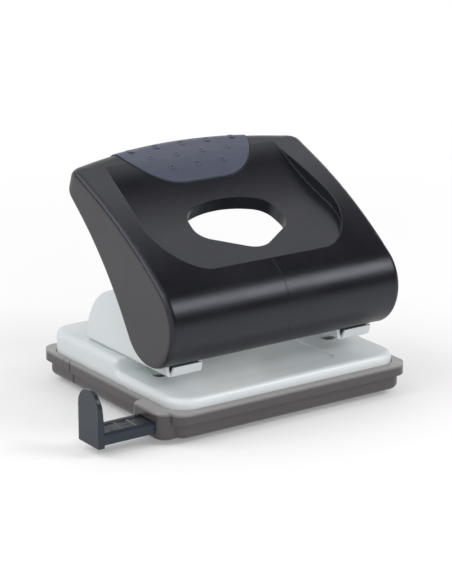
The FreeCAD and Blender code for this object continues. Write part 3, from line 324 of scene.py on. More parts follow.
def drawn_group():
    """Fine drawing lines of rolled and plated sheet, running along one way."""
    group, given, end = new_group(
        "Drawn Lines", [("Line Size", 0.4 * MM), ("Run", 30 * MM)], ["Height", "Tone"]
    )
    coords = object_coords(group)
    across = sums(group, "DIVIDE", 1.0, given["Line Size"])
    along = sums(group, "DIVIDE", 1.0, given["Run"])
    scale = node(group, "ShaderNodeCombineXYZ", {0: along, 1: across, 2: across})
    stretched = node(
        group, "ShaderNodeVectorMath", {0: coords, 1: scale.outputs[0]}, operation="MULTIPLY"
    )
    lines = node(
        group, "ShaderNodeTexNoise", {"Vector": stretched.outputs[0], "Scale": 1.0, "Detail": 3.0}
    )
    cloud = node(group, "ShaderNodeTexNoise", {"Vector": coords, "Scale": 45.0, "Detail": 3.0})
    group.links.new(lines.outputs[0], end.inputs["Height"])
    group.links.new(cloud.outputs[0], end.inputs["Tone"])
    return group


# ---------------------------------------------------------------- materials

def start_material(name):
    """An empty material with its shader joined to its output."""
    made = bpy.data.materials.new(name)
    made.use_nodes = True
    tree = made.node_tree
    tree.nodes.clear()
    shader = node(tree, "ShaderNodeBsdfPrincipled")
    out = node(tree, "ShaderNodeOutputMaterial")
    tree.links.new(shader.outputs[0], out.inputs["Surface"])
    return tree, shader


# the mould's parting line down the front of the cover: half its width, its soft edge, its rear end
SEAM_HALF = 0.17 * MM
SEAM_SOFT = 0.14 * MM
SEAM_END = -32.5 * MM


def cover_material(groups, finish):
    """Black cover: fine grain, painted highlights on its rounded edges and the mould's parting
    line.
    """
    tree, shader = start_material("Textured Black")
    grain = place_group(tree, groups["grain"], cell_size=0.42 * MM, tone_size=30 * MM)
    marks = place_group(tree, groups["marks"], smear_size=22 * MM)
    edge = place_group(tree, groups["edge"], reach=0.7 * MM)["Edge"]
    place = node(tree, "ShaderNodeSeparateXYZ", {0: object_coords(tree)}).outputs
    seam = stripe(tree, place["X"], 0.0, SEAM_HALF, SEAM_SOFT)
    seam = sums(tree, "MULTIPLY", seam, ramp(tree, place["Y"], SEAM_END, SEAM_END - 1.0 * MM))
    base = finish.cover
    # light flecks in the cover's colour stand in for the grain's glints: painted glints
    light = [min(1.0, c * 2.6 + 0.006) for c in base]
    tint = laid_over(tree, base, grain["Painted Glint"], 0.55, light)
    # painted highlight along the cover's edges
    tint = laid_over(tree, tint, edge, 0.35, (0.035, 0.035, 0.038))
    tint = laid_over(tree, tint, marks["Dust"], 0.03, (0.11, 0.11, 0.11))
    # the parting line is darkened with painted shade in its groove
    tint = laid_over(tree, tint, seam, 0.8, (0.002, 0.002, 0.002))
    rough_at = finish.cover_gloss
    rough = ramp(tree, grain["Tone"], 0.3, 0.7, rough_at - 0.02, rough_at + 0.03)
    height = sums(tree, "SUBTRACT", grain["Height"], sums(tree, "MULTIPLY", seam, 4.0))
    plug(
        tree, shader, Base_Color=tint, Roughness=raised(tree, rough, marks["Smear"], 0.035),
        IOR=1.53, Specular_Tint=(0.87, 0.90, 1.0, 1.0),
        Normal=bump(tree, height, 0.03 * MM, rounded(tree, 0.7 * MM)),
    )


def panel_material(groups, finish):
    """Charcoal side panels, a little rougher and lighter than the cover."""
    tree, shader = start_material("Charcoal Panel")
    grain = place_group(tree, groups["grain"], cell_size=0.4 * MM, tone_size=20 * MM)
    marks = place_group(tree, groups["marks"], smear_size=20 * MM)
    edge = place_group(tree, groups["edge"], reach=0.4 * MM)["Edge"]
    tint = toned(tree, grain["Tone"], finish.panel, 0.93, 1.06)
    # painted highlight along the panels' edges
    tint = laid_over(tree, tint, edge, 0.5, (0.09, 0.088, 0.09))
    plug(
        tree, shader, Base_Color=tint, Roughness=raised(tree, 0.47, marks["Smear"], 0.05),
        IOR=1.5, Normal=bump(tree, grain["Height"], 0.014 * MM),
    )


def grip_material(groups, finish):
    """Soft-touch blue-grey rubber with painted shade as a dark line round its edge."""
    tree, shader = start_material("Soft Grip")
    grain = place_group(tree, groups["grain"], cell_size=0.45 * MM, tone_size=12 * MM)
    marks = place_group(tree, groups["marks"], smear_size=14 * MM)
    edge = place_group(tree, groups["edge"], reach=0.35 * MM)["Edge"]
    tint = toned(tree, grain["Tone"], finish.grip, 0.92, 1.07)
    tint = laid_over(tree, tint, marks["Dust"], 0.04, (0.26, 0.26, 0.27))
    # painted shade: a dark line round the grip's edge
    tint = laid_over(tree, tint, edge, 0.9, (0.004, 0.004, 0.006))
    plug(
        tree, shader, Base_Color=tint, Roughness=raised(tree, 0.46, marks["Smear"], 0.07),
        IOR=1.48, Normal=bump(tree, grain["Height"], 0.016 * MM),
        Sheen_Weight=0.12, Sheen_Roughness=0.5,
    )


def steel_material(groups, name, tone, metal, rough_at, run):
    """Plated sheet steel with soft drawn lines and painted highlights along its edges."""
    tree, shader = start_material(name)
    drawn = place_group(tree, groups["drawn"], line_size=0.35 * MM, run=run)
    marks = place_group(tree, groups["marks"], smear_size=30 * MM)
    edge = place_group(tree, groups["edge"], reach=0.5 * MM)["Edge"]
    tint = toned(tree, drawn["Tone"], tone, 0.97, 1.02)
    # painted highlight along the sheet's edges
    tint = laid_over(tree, tint, edge, 0.35, (0.84, 0.86, 0.87))
    tint = laid_over(tree, tint, marks["Dust"], 0.06, (0.42, 0.42, 0.42))
    rough = raised(tree, rough_at, drawn["Height"], 0.08)
    plug(
        tree, shader, Base_Color=tint, Metallic=metal,
        Roughness=raised(tree, rough, marks["Smear"], 0.04),
        Coat_Weight=0.30, Coat_Roughness=0.14,
        Normal=bump(tree, drawn["Height"], 0.006 * MM, rounded(tree, 0.3 * MM)),
    )


def turned_material(groups, name, tone, rough_at):
    """Turned or ground metal: rivets, axle, pins, springs and bushes."""
    tree, shader = start_material(name)
    drawn = place_group(tree, groups["drawn"], line_size=0.12 * MM, run=4 * MM)
    marks = place_group(tree, groups["marks"], smear_size=6 * MM)
    plug(
        tree, shader, Base_Color=toned(tree, marks["Smear"], tone, 1.0, 0.82), Metallic=1.0,
        Roughness=raised(tree, rough_at, drawn["Height"], 0.14),
        Normal=bump(tree, drawn["Height"], 0.004 * MM),
    )


def nylon_material(groups, finish):
    """Off-white nylon of the axle spacers."""
    tree, shader = start_material("Nylon")
    grain = place_group(tree, groups["grain"], cell_size=0.3 * MM, tone_size=4 * MM)
    plug(
        tree, shader, Base_Color=toned(tree, grain["Tone"], finish.nylon, 0.92, 1.0),
        Roughness=ramp(tree, grain["Tone"], 0.3, 0.7, 0.36, 0.48),
        Subsurface_Weight=0.15, Subsurface_Scale=2 * MM,
        Normal=bump(tree, grain["Height"], 0.006 * MM),
    )


# latch lines on the tray's sides: their place, the height where each starts and where it is full
LATCH_LINES = ((28.1 * MM, 7.9 * MM, 7.4 * MM), (31.5 * MM, 8.0 * MM, 8.5 * MM))
# they show only on the side walls, further out than this
TRAY_SIDE = 49.0 * MM
# the weld line, which shows only on the front wall
WELD_X = -19.7 * MM
TRAY_FRONT = -48.8 * MM


def tray_material(groups, finish):
    """Smoke tinted translucent tray with its faint mould lines and a painted highlight along its
    top edge.
    """
    tree, shader = start_material("Smoke Tray")
    grain = place_group(tree, groups["grain"], cell_size=12 * MM, tone_size=25 * MM)
    marks = place_group(tree, groups["marks"], smear_size=16 * MM)
    place = node(tree, "ShaderNodeSeparateXYZ", {0: object_coords(tree)}).outputs
    # the top of the tray is made paler as a painted highlight
    rim_highlight = ramp(tree, place["Z"], 11.2 * MM, 13.0 * MM)
    low = ramp(tree, place["Z"], 0.0, 6.0 * MM, 1.0, 0.0)
    latch = 0.0
    for y, start, full in LATCH_LINES:
        line = stripe(tree, place["Y"], y, 0.12 * MM, 0.2 * MM)
        line = sums(tree, "MULTIPLY", line, ramp(tree, place["Z"], start, full))
        latch = sums(tree, "ADD", line, latch)
    side = sums(tree, "ABSOLUTE", place["X"])
    latch = sums(tree, "MULTIPLY", latch, ramp(tree, side, TRAY_SIDE, TRAY_SIDE + 1.0 * MM))
    weld = stripe(tree, place["X"], WELD_X, 0.08 * MM, 0.3 * MM)
    front = ramp(tree, place["Y"], TRAY_FRONT, TRAY_FRONT - 0.4 * MM)
    weld = sums(tree, "MULTIPLY", weld, front)
    tint = toned(tree, grain["Tone"], finish.tray, 0.94, 1.05)
    tint = laid_over(tree, tint, rim_highlight, 0.60, (0.60, 0.58, 0.57))
    tint = laid_over(tree, tint, low, 0.30, shade(finish.tray, 0.72))
    tint = laid_over(tree, tint, latch, 0.75, (0.03, 0.028, 0.028))
    height = sums(tree, "SUBTRACT", grain["Height"], sums(tree, "MULTIPLY", latch, 5.0))
    height = raised(tree, height, weld, 2.5)
    plug(
        tree, shader, Base_Color=tint, Roughness=raised(tree, 0.17, marks["Smear"], 0.06),
        IOR=1.49, Transmission_Weight=0.30, Normal=bump(tree, height, 0.03 * MM),
    )


# the guide's sunk scale panel, measured from the guide's lowest front left corner
PANEL_HEIGHT = 5.1 * MM
PANEL_FRONT = 1.4 * MM
PANEL_REAR = 9.8 * MM
# thickness of the upright to its left
UPRIGHT = 2.6 * MM


def scale_panel():
    """The height of the panel's floor, its front and rear borders and its left end."""
    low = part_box("paper_guide")[0]
    return low.z + PANEL_HEIGHT, low.y + PANEL_FRONT, low.y + PANEL_REAR, low.x + UPRIGHT


def guide_material(groups, finish):
    """Slate paper guide, satin with painted highlights on its rounded edges and a grey scale panel.
    """
    tree, shader = start_material("Slate Guide")
    grain = place_group(tree, groups["grain"], cell_size=0.5 * MM, tone_size=12 * MM)
    marks = place_group(tree, groups["marks"], smear_size=10 * MM)
    edge = place_group(tree, groups["edge"], reach=0.7 * MM)["Edge"]
    place = node(tree, "ShaderNodeSeparateXYZ", {0: object_coords(tree)}).outputs
    floor_z, front, rear, left = scale_panel()
    half = (rear - front) / 2 - 0.05 * MM
    panel = stripe(tree, place["Z"], floor_z, 0.06 * MM, 0.1 * MM)
    inside = stripe(tree, place["Y"], (front + rear) / 2, half, 0.1 * MM)
    panel = sums(tree, "MULTIPLY", panel, inside)
    right_of = ramp(tree, place["X"], left + 0.1 * MM, left + 0.2 * MM)
    panel = sums(tree, "MULTIPLY", panel, right_of)
    tint = toned(tree, grain["Tone"], finish.guide, 0.9, 1.12)
    # painted highlight along the guide's edges
    tint = laid_over(tree, tint, edge, 0.4, shade(finish.guide, 2.4))
    tint = laid_over(tree, tint, panel, 0.8, (0.040, 0.043, 0.045))
    plug(
        tree, shader, Base_Color=tint, Roughness=raised(tree, 0.22, marks["Smear"], 0.06),
        IOR=1.40, Normal=bump(tree, grain["Height"], 0.01 * MM, rounded(tree, 0.6 * MM)),
    )


def print_material(groups, name, tone, rough_at):
    """Ink of the guide's scale, slightly uneven."""
    tree, shader = start_material(name)
    grain = place_group(tree, groups["grain"], cell_size=0.2 * MM, tone_size=1 * MM)
    plug(
        tree, shader, Base_Color=toned(tree, grain["Tone"], tone, 0.75, 1.0),
        Roughness=ramp(tree, grain["Tone"], 0.3, 0.7, rough_at, rough_at + 0.1),
        Normal=bump(tree, grain["Height"], 0.004 * MM),
    )


def make_materials():
    """Builds the shared effects and every finish."""
    finish = bpy.context.scene.punch_finishes
    groups = {
        "grain": grain_group(),
        "edge": painted_edge_group(),
        "marks": handling_group(),
        "drawn": drawn_group(),
    }
    cover_material(groups, finish)
    panel_material(groups, finish)
    grip_material(groups, finish)
    steel_material(groups, "Plated Bed", finish.steel, 0.06, 0.40, 50 * MM)
    steel_material(groups, "Pressed Bracket", finish.steel, 0.05, 0.45, 20 * MM)
    steel_material(groups, "Lever Steel", (0.42, 0.43, 0.44), 0.9, 0.36, 20 * MM)
    turned_material(groups, "Rivet Steel", (0.52, 0.53, 0.54), 0.30)
    turned_material(groups, "Ground Steel", finish.bright, 0.16)
    turned_material(groups, "Spring Wire", (0.30, 0.30, 0.31), 0.24)
    turned_material(groups, "Bush Metal", finish.brass, 0.28)
    nylon_material(groups, finish)
    tray_material(groups, finish)
    guide_material(groups, finish)
    print_material(groups, "Scale Line Ink", (0.30, 0.28, 0.22), 0.45)
    # the numerals' dark ink also draws the painted shadows beside the scale lines
    print_material(groups, "Numeral Ink", (0.010, 0.011, 0.012), 0.40)


PAINT = {
    "Textured Black": ["handle_cover"],
    "Charcoal Panel": ["left_side_panel", "right_side_panel"],
    "Soft Grip": ["grip_pad"],
    "Plated Bed": ["base_plate"],
    "Pressed Bracket": ["left_bracket", "right_bracket"],
    "Lever Steel": ["lever_frame"],
    "Rivet Steel": ["bracket_rivets", "lever_screws", "left_spring_washer", "right_spring_washer"],
    "Ground Steel": ["pivot_axle", "left_punch_pin", "right_punch_pin"],
    "Spring Wire": ["axle_clips", "left_pin_clip", "right_pin_clip"],
    "Bush Metal": ["left_guide_bush", "right_guide_bush"],
    "Nylon": ["axle_spacers"],
    "Smoke Tray": ["chip_tray"],
    "Slate Guide": ["paper_guide"],
}


# ---------------------------------------------------------------- pieces

def add_piece(name, mesh, body, replaced=()):
    """Puts a finished mesh on its body."""
    piece = bpy.data.objects.new(name, mesh)
    bpy.context.scene.collection.objects.link(piece)
    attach(piece, body)
    if replaced:
        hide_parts(*replaced)
    return piece


def geometry_tree(name, inputs):
    """A geometry tree with named inputs (name, socket kind); returns tree, given, end."""
    tree = bpy.data.node_groups.new(name, "GeometryNodeTree")
    tree.interface.new_socket("Geometry", in_out="INPUT", socket_type="NodeSocketGeometry")
    for label, kind in inputs:
        tree.interface.new_socket(label, in_out="INPUT", socket_type="NodeSocket" + kind)
    tree.interface.new_socket("Geometry", in_out="OUTPUT", socket_type="NodeSocketGeometry")
    return tree, tree.nodes.new("NodeGroupInput").outputs, tree.nodes.new("NodeGroupOutput")


def close_tree(tree, shape, finish, end):
    """Smooth shading, real geometry and its material at the end of a tree."""
    smooth = node(tree, "GeometryNodeSetShadeSmooth", {"Geometry": shape}).outputs[0]
    real = node(tree, "GeometryNodeRealizeInstances", {"Geometry": smooth}).outputs[0]
    painted = node(tree, "GeometryNodeSetMaterial", {"Geometry": real, "Material": finish})
    tree.links.new(painted.outputs[0], end.inputs["Geometry"])


def grow(tree, points, values):
    """Runs a geometry tree on loose points and returns the plain mesh it makes."""
    seed = bpy.data.meshes.new("seed")
    seed.from_pydata(points, [], [])
    holder = bpy.data.objects.new("seed", seed)
    bpy.context.scene.collection.objects.link(holder)
    modifier = holder.modifiers.new("Growth", "NODES")
    modifier.node_group = tree
    for item in tree.interface.items_tree:
        if item.in_out == "INPUT" and item.name in values:
            modifier[item.identifier] = values[item.name]
    graph = bpy.context.evaluated_depsgraph_get()
    made = bpy.data.meshes.new_from_object(holder.evaluated_get(graph), depsgraph=graph)
    bpy.data.objects.remove(holder)
    if not made.polygons:
        raise RuntimeError(f"the tree {tree.name} made nothing")
    return made


def curve_of(tree, value, points):
    """A float curve through the given points."""
    made = node(tree, "ShaderNodeFloatCurve", {"Value": value})
    line = made.mapping.curves[0]
    for x, y in points[1:-1]:
        line.points.new(x, y)
    line.points[0].location = points[0]
    line.points[-1].location = points[-1]
    made.mapping.update()
    return made.outputs[0]


# rows of pips: millimetres behind the middle, and how many
PIP_ROWS = ((29.0, 5), (23.2, 4), (17.3, 3))
PIP_RINGS = 9
# the pips are dropped from above the handle
DROP_FROM = 0.12
DROP_REACH = 0.2
# a pip from its middle to its rim: share of the radius, share of the lip height
PIP_SECTION = ((0.0, 0.45), (0.30, 0.50), (0.60, 1.00), (0.78, 0.80), (1.0, 0.0))


def pip_tree():
    """Ringed pips dropped onto a surface and leaning with it."""
    tree, given, end = geometry_tree(
        "Grip Pips",
        [
            ("Surface", "Object"), ("Diameter", "Float"), ("Height", "Float"),
            ("Sides", "Int"), ("Finish", "Material"),
        ],
    )
    radius = sums(tree, "DIVIDE", given["Diameter"], 2.0)
    blank = node(
        tree,
        "GeometryNodeMeshCone",
        {"Vertices": given["Sides"], "Side Segments": PIP_RINGS, "Radius Top": 0.0,
         "Radius Bottom": radius, "Depth": given["Height"]},
        fill_type="NGON",
    )
    here = node(tree, "GeometryNodeInputPosition").outputs[0]
    place = node(tree, "ShaderNodeSeparateXYZ", {0: here})
    flat = node(tree, "ShaderNodeCombineXYZ", {0: place.outputs[0], 1: place.outputs[1]}).outputs[0]
    out = node(tree, "ShaderNodeVectorMath", {0: flat}, operation="LENGTH").outputs["Value"]
    section = curve_of(tree, sums(tree, "DIVIDE", out, radius), PIP_SECTION)
    rise = sums(tree, "MULTIPLY", sums(tree, "SUBTRACT", section, 0.25), given["Height"])
    spot = node(
        tree, "ShaderNodeCombineXYZ", {0: place.outputs[0], 1: place.outputs[1], 2: rise}
    ).outputs[0]
    pip = node(
        tree, "GeometryNodeSetPosition", {"Geometry": blank.outputs["Mesh"], "Position": spot}
    ).outputs[0]
    surface = node(tree, "GeometryNodeObjectInfo", {"Object": given["Surface"]}).outputs["Geometry"]
    drop = node(
        tree, "GeometryNodeRaycast",
        {"Target Geometry": surface, "Ray Direction": (0.0, 0.0, -1.0),
         "Ray Length": DROP_REACH},
    ).outputs
    lean = node(tree, "FunctionNodeAlignRotationToVector", {"Vector": drop["Hit Normal"]}, axis="Z")
    set_out = node(
        tree, "GeometryNodeInstanceOnPoints",
        {"Points": given["Geometry"], "Instance": pip, "Rotation": lean.outputs[0]},
    ).outputs[0]
    move = node(
        tree, "ShaderNodeVectorMath",
        {0: drop["Hit Position"], 1: node(tree, "GeometryNodeInputPosition").outputs[0]},
        operation="SUBTRACT",
    ).outputs[0]
    laid = node(
        tree, "GeometryNodeTranslateInstances",
        {"Instances": set_out, "Translation": move, "Local Space": False},
    ).outputs[0]
    close_tree(tree, laid, given["Finish"], end)
    return tree


def scale_line_tree():
    """Half-sunk rounded lines laid side by side across a scale."""
    tree, given, end = geometry_tree(
        "Scale Lines",
        [("Length", "Float"), ("Width", "Float"), ("Sides", "Int"), ("Finish", "Material")],
    )
    half = sums(tree, "DIVIDE", given["Length"], 2.0)
    ends = [
        node(tree, "ShaderNodeCombineXYZ", {1: sums(tree, "MULTIPLY", half, way)}).outputs[0]
        for way in (-1.0, 1.0)
    ]
    path = node(
        tree, "GeometryNodeCurvePrimitiveLine", {"Start": ends[0], "End": ends[1]}
    ).outputs[0]
    ring = node(
        tree, "GeometryNodeCurvePrimitiveCircle",
        {"Resolution": given["Sides"], "Radius": sums(tree, "DIVIDE", given["Width"], 2.0)},
    ).outputs[0]
    bar = node(
        tree, "GeometryNodeCurveToMesh", {"Curve": path, "Profile Curve": ring, "Fill Caps": True}
    ).outputs[0]
    laid = node(
        tree, "GeometryNodeInstanceOnPoints", {"Points": given["Geometry"], "Instance": bar}
    ).outputs[0]
    close_tree(tree, laid, given["Finish"], end)
    return tree


# a spring from end to end: share of its turns, share of its height, with closed end turns
SPRING_RISE = ((0.0, 0.0), (0.15, 0.055), (0.5, 0.5), (0.85, 0.945), (1.0, 1.0))
WIRE_SIDES = 12
SPRING_STEPS = 32


def spring_tree():
    """A compression spring of round wire with closed ends."""
    tree, given, end = geometry_tree(
        "Return Spring",
        [
            ("Radius", "Float"), ("Height", "Float"), ("Turns", "Float"), ("Wire", "Float"),
            ("Steps", "Int"), ("Finish", "Material"),
        ],
    )
    spiral = node(
        tree, "GeometryNodeCurveSpiral",
        {"Resolution": given["Steps"], "Rotations": given["Turns"], "Start Radius": given["Radius"],
         "End Radius": given["Radius"], "Height": 0.0},
    ).outputs[0]
    along = node(tree, "GeometryNodeSplineParameter").outputs["Factor"]
    rise = sums(tree, "MULTIPLY", curve_of(tree, along, SPRING_RISE), given["Height"])
    lifted = node(
        tree, "GeometryNodeSetPosition",
        {"Geometry": spiral, "Offset": node(tree, "ShaderNodeCombineXYZ", {2: rise}).outputs[0]},
    ).outputs[0]
    ring = node(
        tree, "GeometryNodeCurvePrimitiveCircle",
        {"Resolution": WIRE_SIDES, "Radius": sums(tree, "DIVIDE", given["Wire"], 2.0)},
    ).outputs[0]
    wire = node(
        tree, "GeometryNodeCurveToMesh", {"Curve": lifted, "Profile Curve": ring, "Fill Caps": True}
    ).outputs[0]
    laid = node(
        tree, "GeometryNodeInstanceOnPoints", {"Points": given["Geometry"], "Instance": wire}
    ).outputs[0]
    close_tree(tree, laid, given["Finish"], end)
    return tree


def text_mesh(words, size, height, spot):
    """Words standing height proud of a surface, centred on spot."""
    letters = bpy.data.curves.new("words", "FONT")
    letters.body = words
    letters.size = size
    letters.extrude = height
    letters.align_x = "CENTER"
    letters.align_y = "CENTER"
    holder = bpy.data.objects.new("words", letters)
    bpy.context.scene.collection.objects.link(holder)
    graph = bpy.context.evaluated_depsgraph_get()
    made = bpy.data.meshes.new_from_object(holder.evaluated_get(graph), depsgraph=graph)
    bpy.data.objects.remove(holder)
    for point in made.vertices:
        point.co = point.co + Vector(spot)
    return made


def smooth_copy(name, part, sharp):
    """A merged copy of a carried-over part, smooth across bends of less than sharp degrees."""
    shape = bmesh.new()
    shape.from_mesh(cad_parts[part].data)
    bmesh.ops.remove_doubles(shape, verts=shape.verts, dist=2e-6)
    for face in shape.faces:
        face.smooth = True
    for edge in shape.edges:
        edge.smooth = edge.is_manifold and edge.calc_face_angle() < math.radians(sharp)
    made = bpy.data.meshes.new(name)
    shape.to_mesh(made)
    shape.free()
    for layer in [a for a in made.attributes if a.name == "custom_normal"]:
        made.attributes.remove(layer)
    made.materials.clear()
    return made


def joined(name, meshes, material):
    """Several meshes as one, with one material."""
    whole = bmesh.new()
    for mesh in meshes:
        whole.from_mesh(mesh)
    bmesh.ops.remove_doubles(whole, verts=whole.verts, dist=1e-7)
    bmesh.ops.recalc_face_normals(whole, faces=whole.faces)
    made = bpy.data.meshes.new(name)
    whole.to_mesh(made)
    whole.free()
    made.materials.append(material)
    return made


# ---------------------------------------------------------------- operators

# bends of the grip sharper than this many degrees stay creased
GRIP_CREASE = 35


class PUNCH_OT_finishes(bpy.types.Operator):
    """Builds every finish and paints the carried-over parts"""

    bl_idname = "punch.finishes"
    bl_label = "Finish the Parts"

    def execute(self, context):
        make_materials()
        for finish, names in PAINT.items():
            for name in names:
                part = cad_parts[name]
                if not part.material_slots:
                    part.data.materials.append(None)
                for held in part.material_slots:
                    held.link = "OBJECT"
                    held.material = bpy.data.materials[finish]
        return {"FINISHED"}


class PUNCH_OT_grip_skin(bpy.types.Operator):
    """Carries the soft grip over as one smooth skin"""

    bl_idname = "punch.grip_skin"
    bl_label = "Grip Skin"

    def execute(self, context):
        mesh = smooth_copy("grip_skin", "grip_pad", GRIP_CREASE)
        mesh.materials.append(bpy.data.materials["Soft Grip"])
        add_piece("grip_skin", mesh, "handle", ["grip_pad"])
        return {"FINISHED"}


class PUNCH_OT_grip_pips(bpy.types.Operator):
    """Sets three staggered rows of pips into the soft grip"""

    bl_idname = "punch.grip_pips"
    bl_label = "Grip Pips"

    def execute(self, context):
        sizes = context.scene.punch_details
        points = []
        for y, count in PIP_ROWS:
            for place in range(count):
                x = (place - (count - 1) / 2) * sizes.pip_pitch
                points.append((x, y * MM, DROP_FROM))
        mesh = grow(
            pip_tree(),
            points,
            {
                "Surface": bpy.data.objects["grip_skin"],
                "Diameter": sizes.pip_diameter,
                "Height": sizes.pip_height,
                "Sides": sizes.sides,
                "Finish": bpy.data.materials["Soft Grip"],
            },
        )
        add_piece("grip_pips", mesh, "handle")
        return {"FINISHED"}


LINE_SIDES = 10
# the numerals stand in three rows this far apart, and start this far from the upright
NUMERAL_ROW = 2.5 * MM
NUMERAL_START = 1.5 * MM
# stops of the guide: half the paper width each one centres, in millimetres
STOPS = (68.5, 74.0, 105.0, 148.5)


class PUNCH_OT_guide_scale(bpy.types.Operator):
    """Lays the lines, their painted shadows and the numerals on the paper guide's sunk panel"""

    bl_idname = "punch.guide_scale"
    bl_label = "Guide Scale"

    def execute(self, context):
        sizes = context.scene.punch_details
        floor_z, front, rear, face = scale_panel()
        tray_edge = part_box("chip_tray")[0].x
        middle = (front + rear) / 2
        # a line meets the tray's edge when the upright stands that far from the middle
        lines = [tray_edge + stop * MM + face for stop in STOPS]
        spots = [(x, middle, floor_z) for x in lines]
        # a dark line just beside each pale scale line, in the numerals' ink, is a painted shadow
        shadow_spots = [(x + sizes.line_width * 1.3, middle, floor_z) for x in lines]
        tree = scale_line_tree()
        for name, where, ink, width in (
            ("scale_lines", spots, "Scale Line Ink", sizes.line_width),
            ("scale_grooves", shadow_spots, "Numeral Ink", sizes.line_width * 1.2),
        ):
            mesh = grow(
                tree,
                where,
                {"Length": rear - front, "Width": width, "Sides": LINE_SIDES,
                 "Finish": bpy.data.materials[ink]},
            )
            add_piece(name, mesh, "guide")
        words = []
        left = face + NUMERAL_START
        for stop, right in zip(STOPS, lines):
            for row, text in enumerate((f"{2 * stop:g}", "mm", f"{stop:g}")):
                spot = ((left + right) / 2, middle + (1 - row) * NUMERAL_ROW, floor_z)
                words.append(text_mesh(text, sizes.numeral_size, sizes.print_height, spot))
            left = right
        mesh = joined("scale_numerals", words, bpy.data.materials["Numeral Ink"])
        add_piece("scale_numerals", mesh, "guide")
        return {"FINISHED"}


class PUNCH_OT_return_springs(bpy.types.Operator):
    """Winds the two return springs and sets each on its punch pin"""

    bl_idname = "punch.return_springs"
    bl_label = "Return Springs"

    def execute(self, context):
        sizes = context.scene.punch_details
        wire = sizes.spring_wire
        tree = spring_tree()
        for side in ("left", "right"):
            node_name = side + "_return_spring"
            low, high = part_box(node_name)
            middle = (low + high) / 2
            mesh = grow(
                tree,
                [(middle.x, middle.y, low.z + wire / 2)],
                {
                    "Radius": (high.x - low.x) / 2 - wire / 2,
                    "Height": high.z - low.z - wire,
                    "Turns": sizes.spring_turns,
                    "Wire": wire,
                    "Steps": SPRING_STEPS,
                    "Finish": bpy.data.materials["Spring Wire"],
                },
            )
            piece = add_piece(side + "_coil", mesh, side + "_pin", [node_name])
            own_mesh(piece)
        return {"FINISHED"}


# places in the studio, in metres
HIGH_LAMP = (-0.75, 0.25, 0.85)
KEY_LAMP = (0.66, -0.74, 0.75)
FILL_LAMP = (-0.10, -1.00, 0.15)
HANDLE_MIDDLE = Vector((0.0, 0.0, 0.05))
BED_MIDDLE = Vector((0.0, 0.0, 0.02))
CAMERA_PLACE = (-0.4643, -0.6725, 0.2863)
SENSOR_WIDTH = 36.0


class PUNCH_OT_stage(bpy.types.Operator):
    """Builds the floor, the white surround, the lamps and the camera"""

    bl_idname = "punch.stage"
    bl_label = "Studio"

    def execute(self, context):
        studio = context.scene.punch_studio
        build_world(studio)
        build_floor(studio)
        build_flag()
        add_lamp("high", HIGH_LAMP, HANDLE_MIDDLE, (0.9, 0.9), studio.high)
        add_lamp("key", KEY_LAMP, HANDLE_MIDDLE, (0.5, 0.4), studio.key)
        fill = add_lamp("fill", FILL_LAMP, BED_MIDDLE, (0.9, 0.2), studio.fill)
        fill.visible_glossy = False
        eye = bpy.data.cameras.new("camera")
        eye.lens = studio.lens
        eye.sensor_width = SENSOR_WIDTH
        eye.clip_start = 0.01
        camera = bpy.data.objects.new("camera", eye)
        camera.location = CAMERA_PLACE
        camera.rotation_euler = Euler((math.radians(90) - studio.tilt, 0.0, studio.turn))
        context.scene.collection.objects.link(camera)
        context.scene.camera = camera
        context.scene.view_settings.view_transform = "Standard"
        return {"FINISHED"}


def seen_rays(tree):
    """1 for rays that show the background: straight, mirrored or through the tray."""
    path = node(tree, "ShaderNodeLightPath").outputs
    seen = sums(tree, "ADD", path["Is Camera Ray"], path["Is Glossy Ray"], True)
    return sums(tree, "ADD", seen, path["Is Transmission Ray"], True)


def build_world(studio):
    """A soft surround that looks plain white wherever it is seen."""
    world = bpy.data.worlds.new("surround")
    world.use_nodes = True
    tree = world.node_tree
    tree.nodes.clear()
    lit = node(tree, "ShaderNodeBackground", {"Color": (1, 1, 1, 1), "Strength": studio.sky})
    shown = node(tree, "ShaderNodeBackground", {"Color": (1, 1, 1, 1), "Strength": 1.0})
    both = node(
        tree, "ShaderNodeMixShader", {0: seen_rays(tree), 1: lit.outputs[0], 2: shown.outputs[0]}
    )
    out = node(tree, "ShaderNodeOutputWorld")
    tree.links.new(both.outputs[0], out.inputs["Surface"])
    bpy.context.scene.world = world


# the floor keeps its shadow near the punch and is plain white further out
SHADOW_END = 0.12
WHITE_FROM = 0.42
FLOOR_LIFT = 0.21
FLOOR_RADIUS = 4.0


def build_floor(studio):
    """A pale round floor that turns to plain white away from the punch."""
    shape = bmesh.new()
    bmesh.ops.create_circle(shape, cap_ends=True, radius=FLOOR_RADIUS, segments=64)
    mesh = bpy.data.meshes.new("floor")
    shape.to_mesh(mesh)
    shape.free()
    made = bpy.data.materials.new("Pale Floor")
    made.use_nodes = True
    tree = made.node_tree
    tree.nodes.clear()
    coords = object_coords(tree)
    out_from = node(tree, "ShaderNodeVectorMath", {0: coords}, operation="LENGTH").outputs["Value"]
    seen = seen_rays(tree)
    fade = sums(tree, "MULTIPLY", ramp(tree, out_from, SHADOW_END, WHITE_FROM), seen)
    matt = node(tree, "ShaderNodeBsdfDiffuse", {"Color": (*studio.floor, 1.0)})
    lift = node(
        tree, "ShaderNodeEmission", {"Strength": sums(tree, "MULTIPLY", seen, FLOOR_LIFT)}
    )
    near = node(tree, "ShaderNodeAddShader", {0: matt.outputs[0], 1: lift.outputs[0]})
    far = node(tree, "ShaderNodeEmission", {"Strength": 1.0})
    both = node(tree, "ShaderNodeMixShader", {0: fade, 1: near.outputs[0], 2: far.outputs[0]})
    out = node(tree, "ShaderNodeOutputMaterial")
    tree.links.new(both.outputs[0], out.inputs["Surface"])
    mesh.materials.append(made)
    floor = bpy.data.objects.new("floor", mesh)
    bpy.context.scene.collection.objects.link(floor)


# the dark screen: its radius in metres, its bearings and its top in degrees
FLAG_RADIUS = 2.4
FLAG_FROM = -112
FLAG_TO = 15
FLAG_TOP = 72
FLAG_COLUMNS = 24
FLAG_ROWS = 9


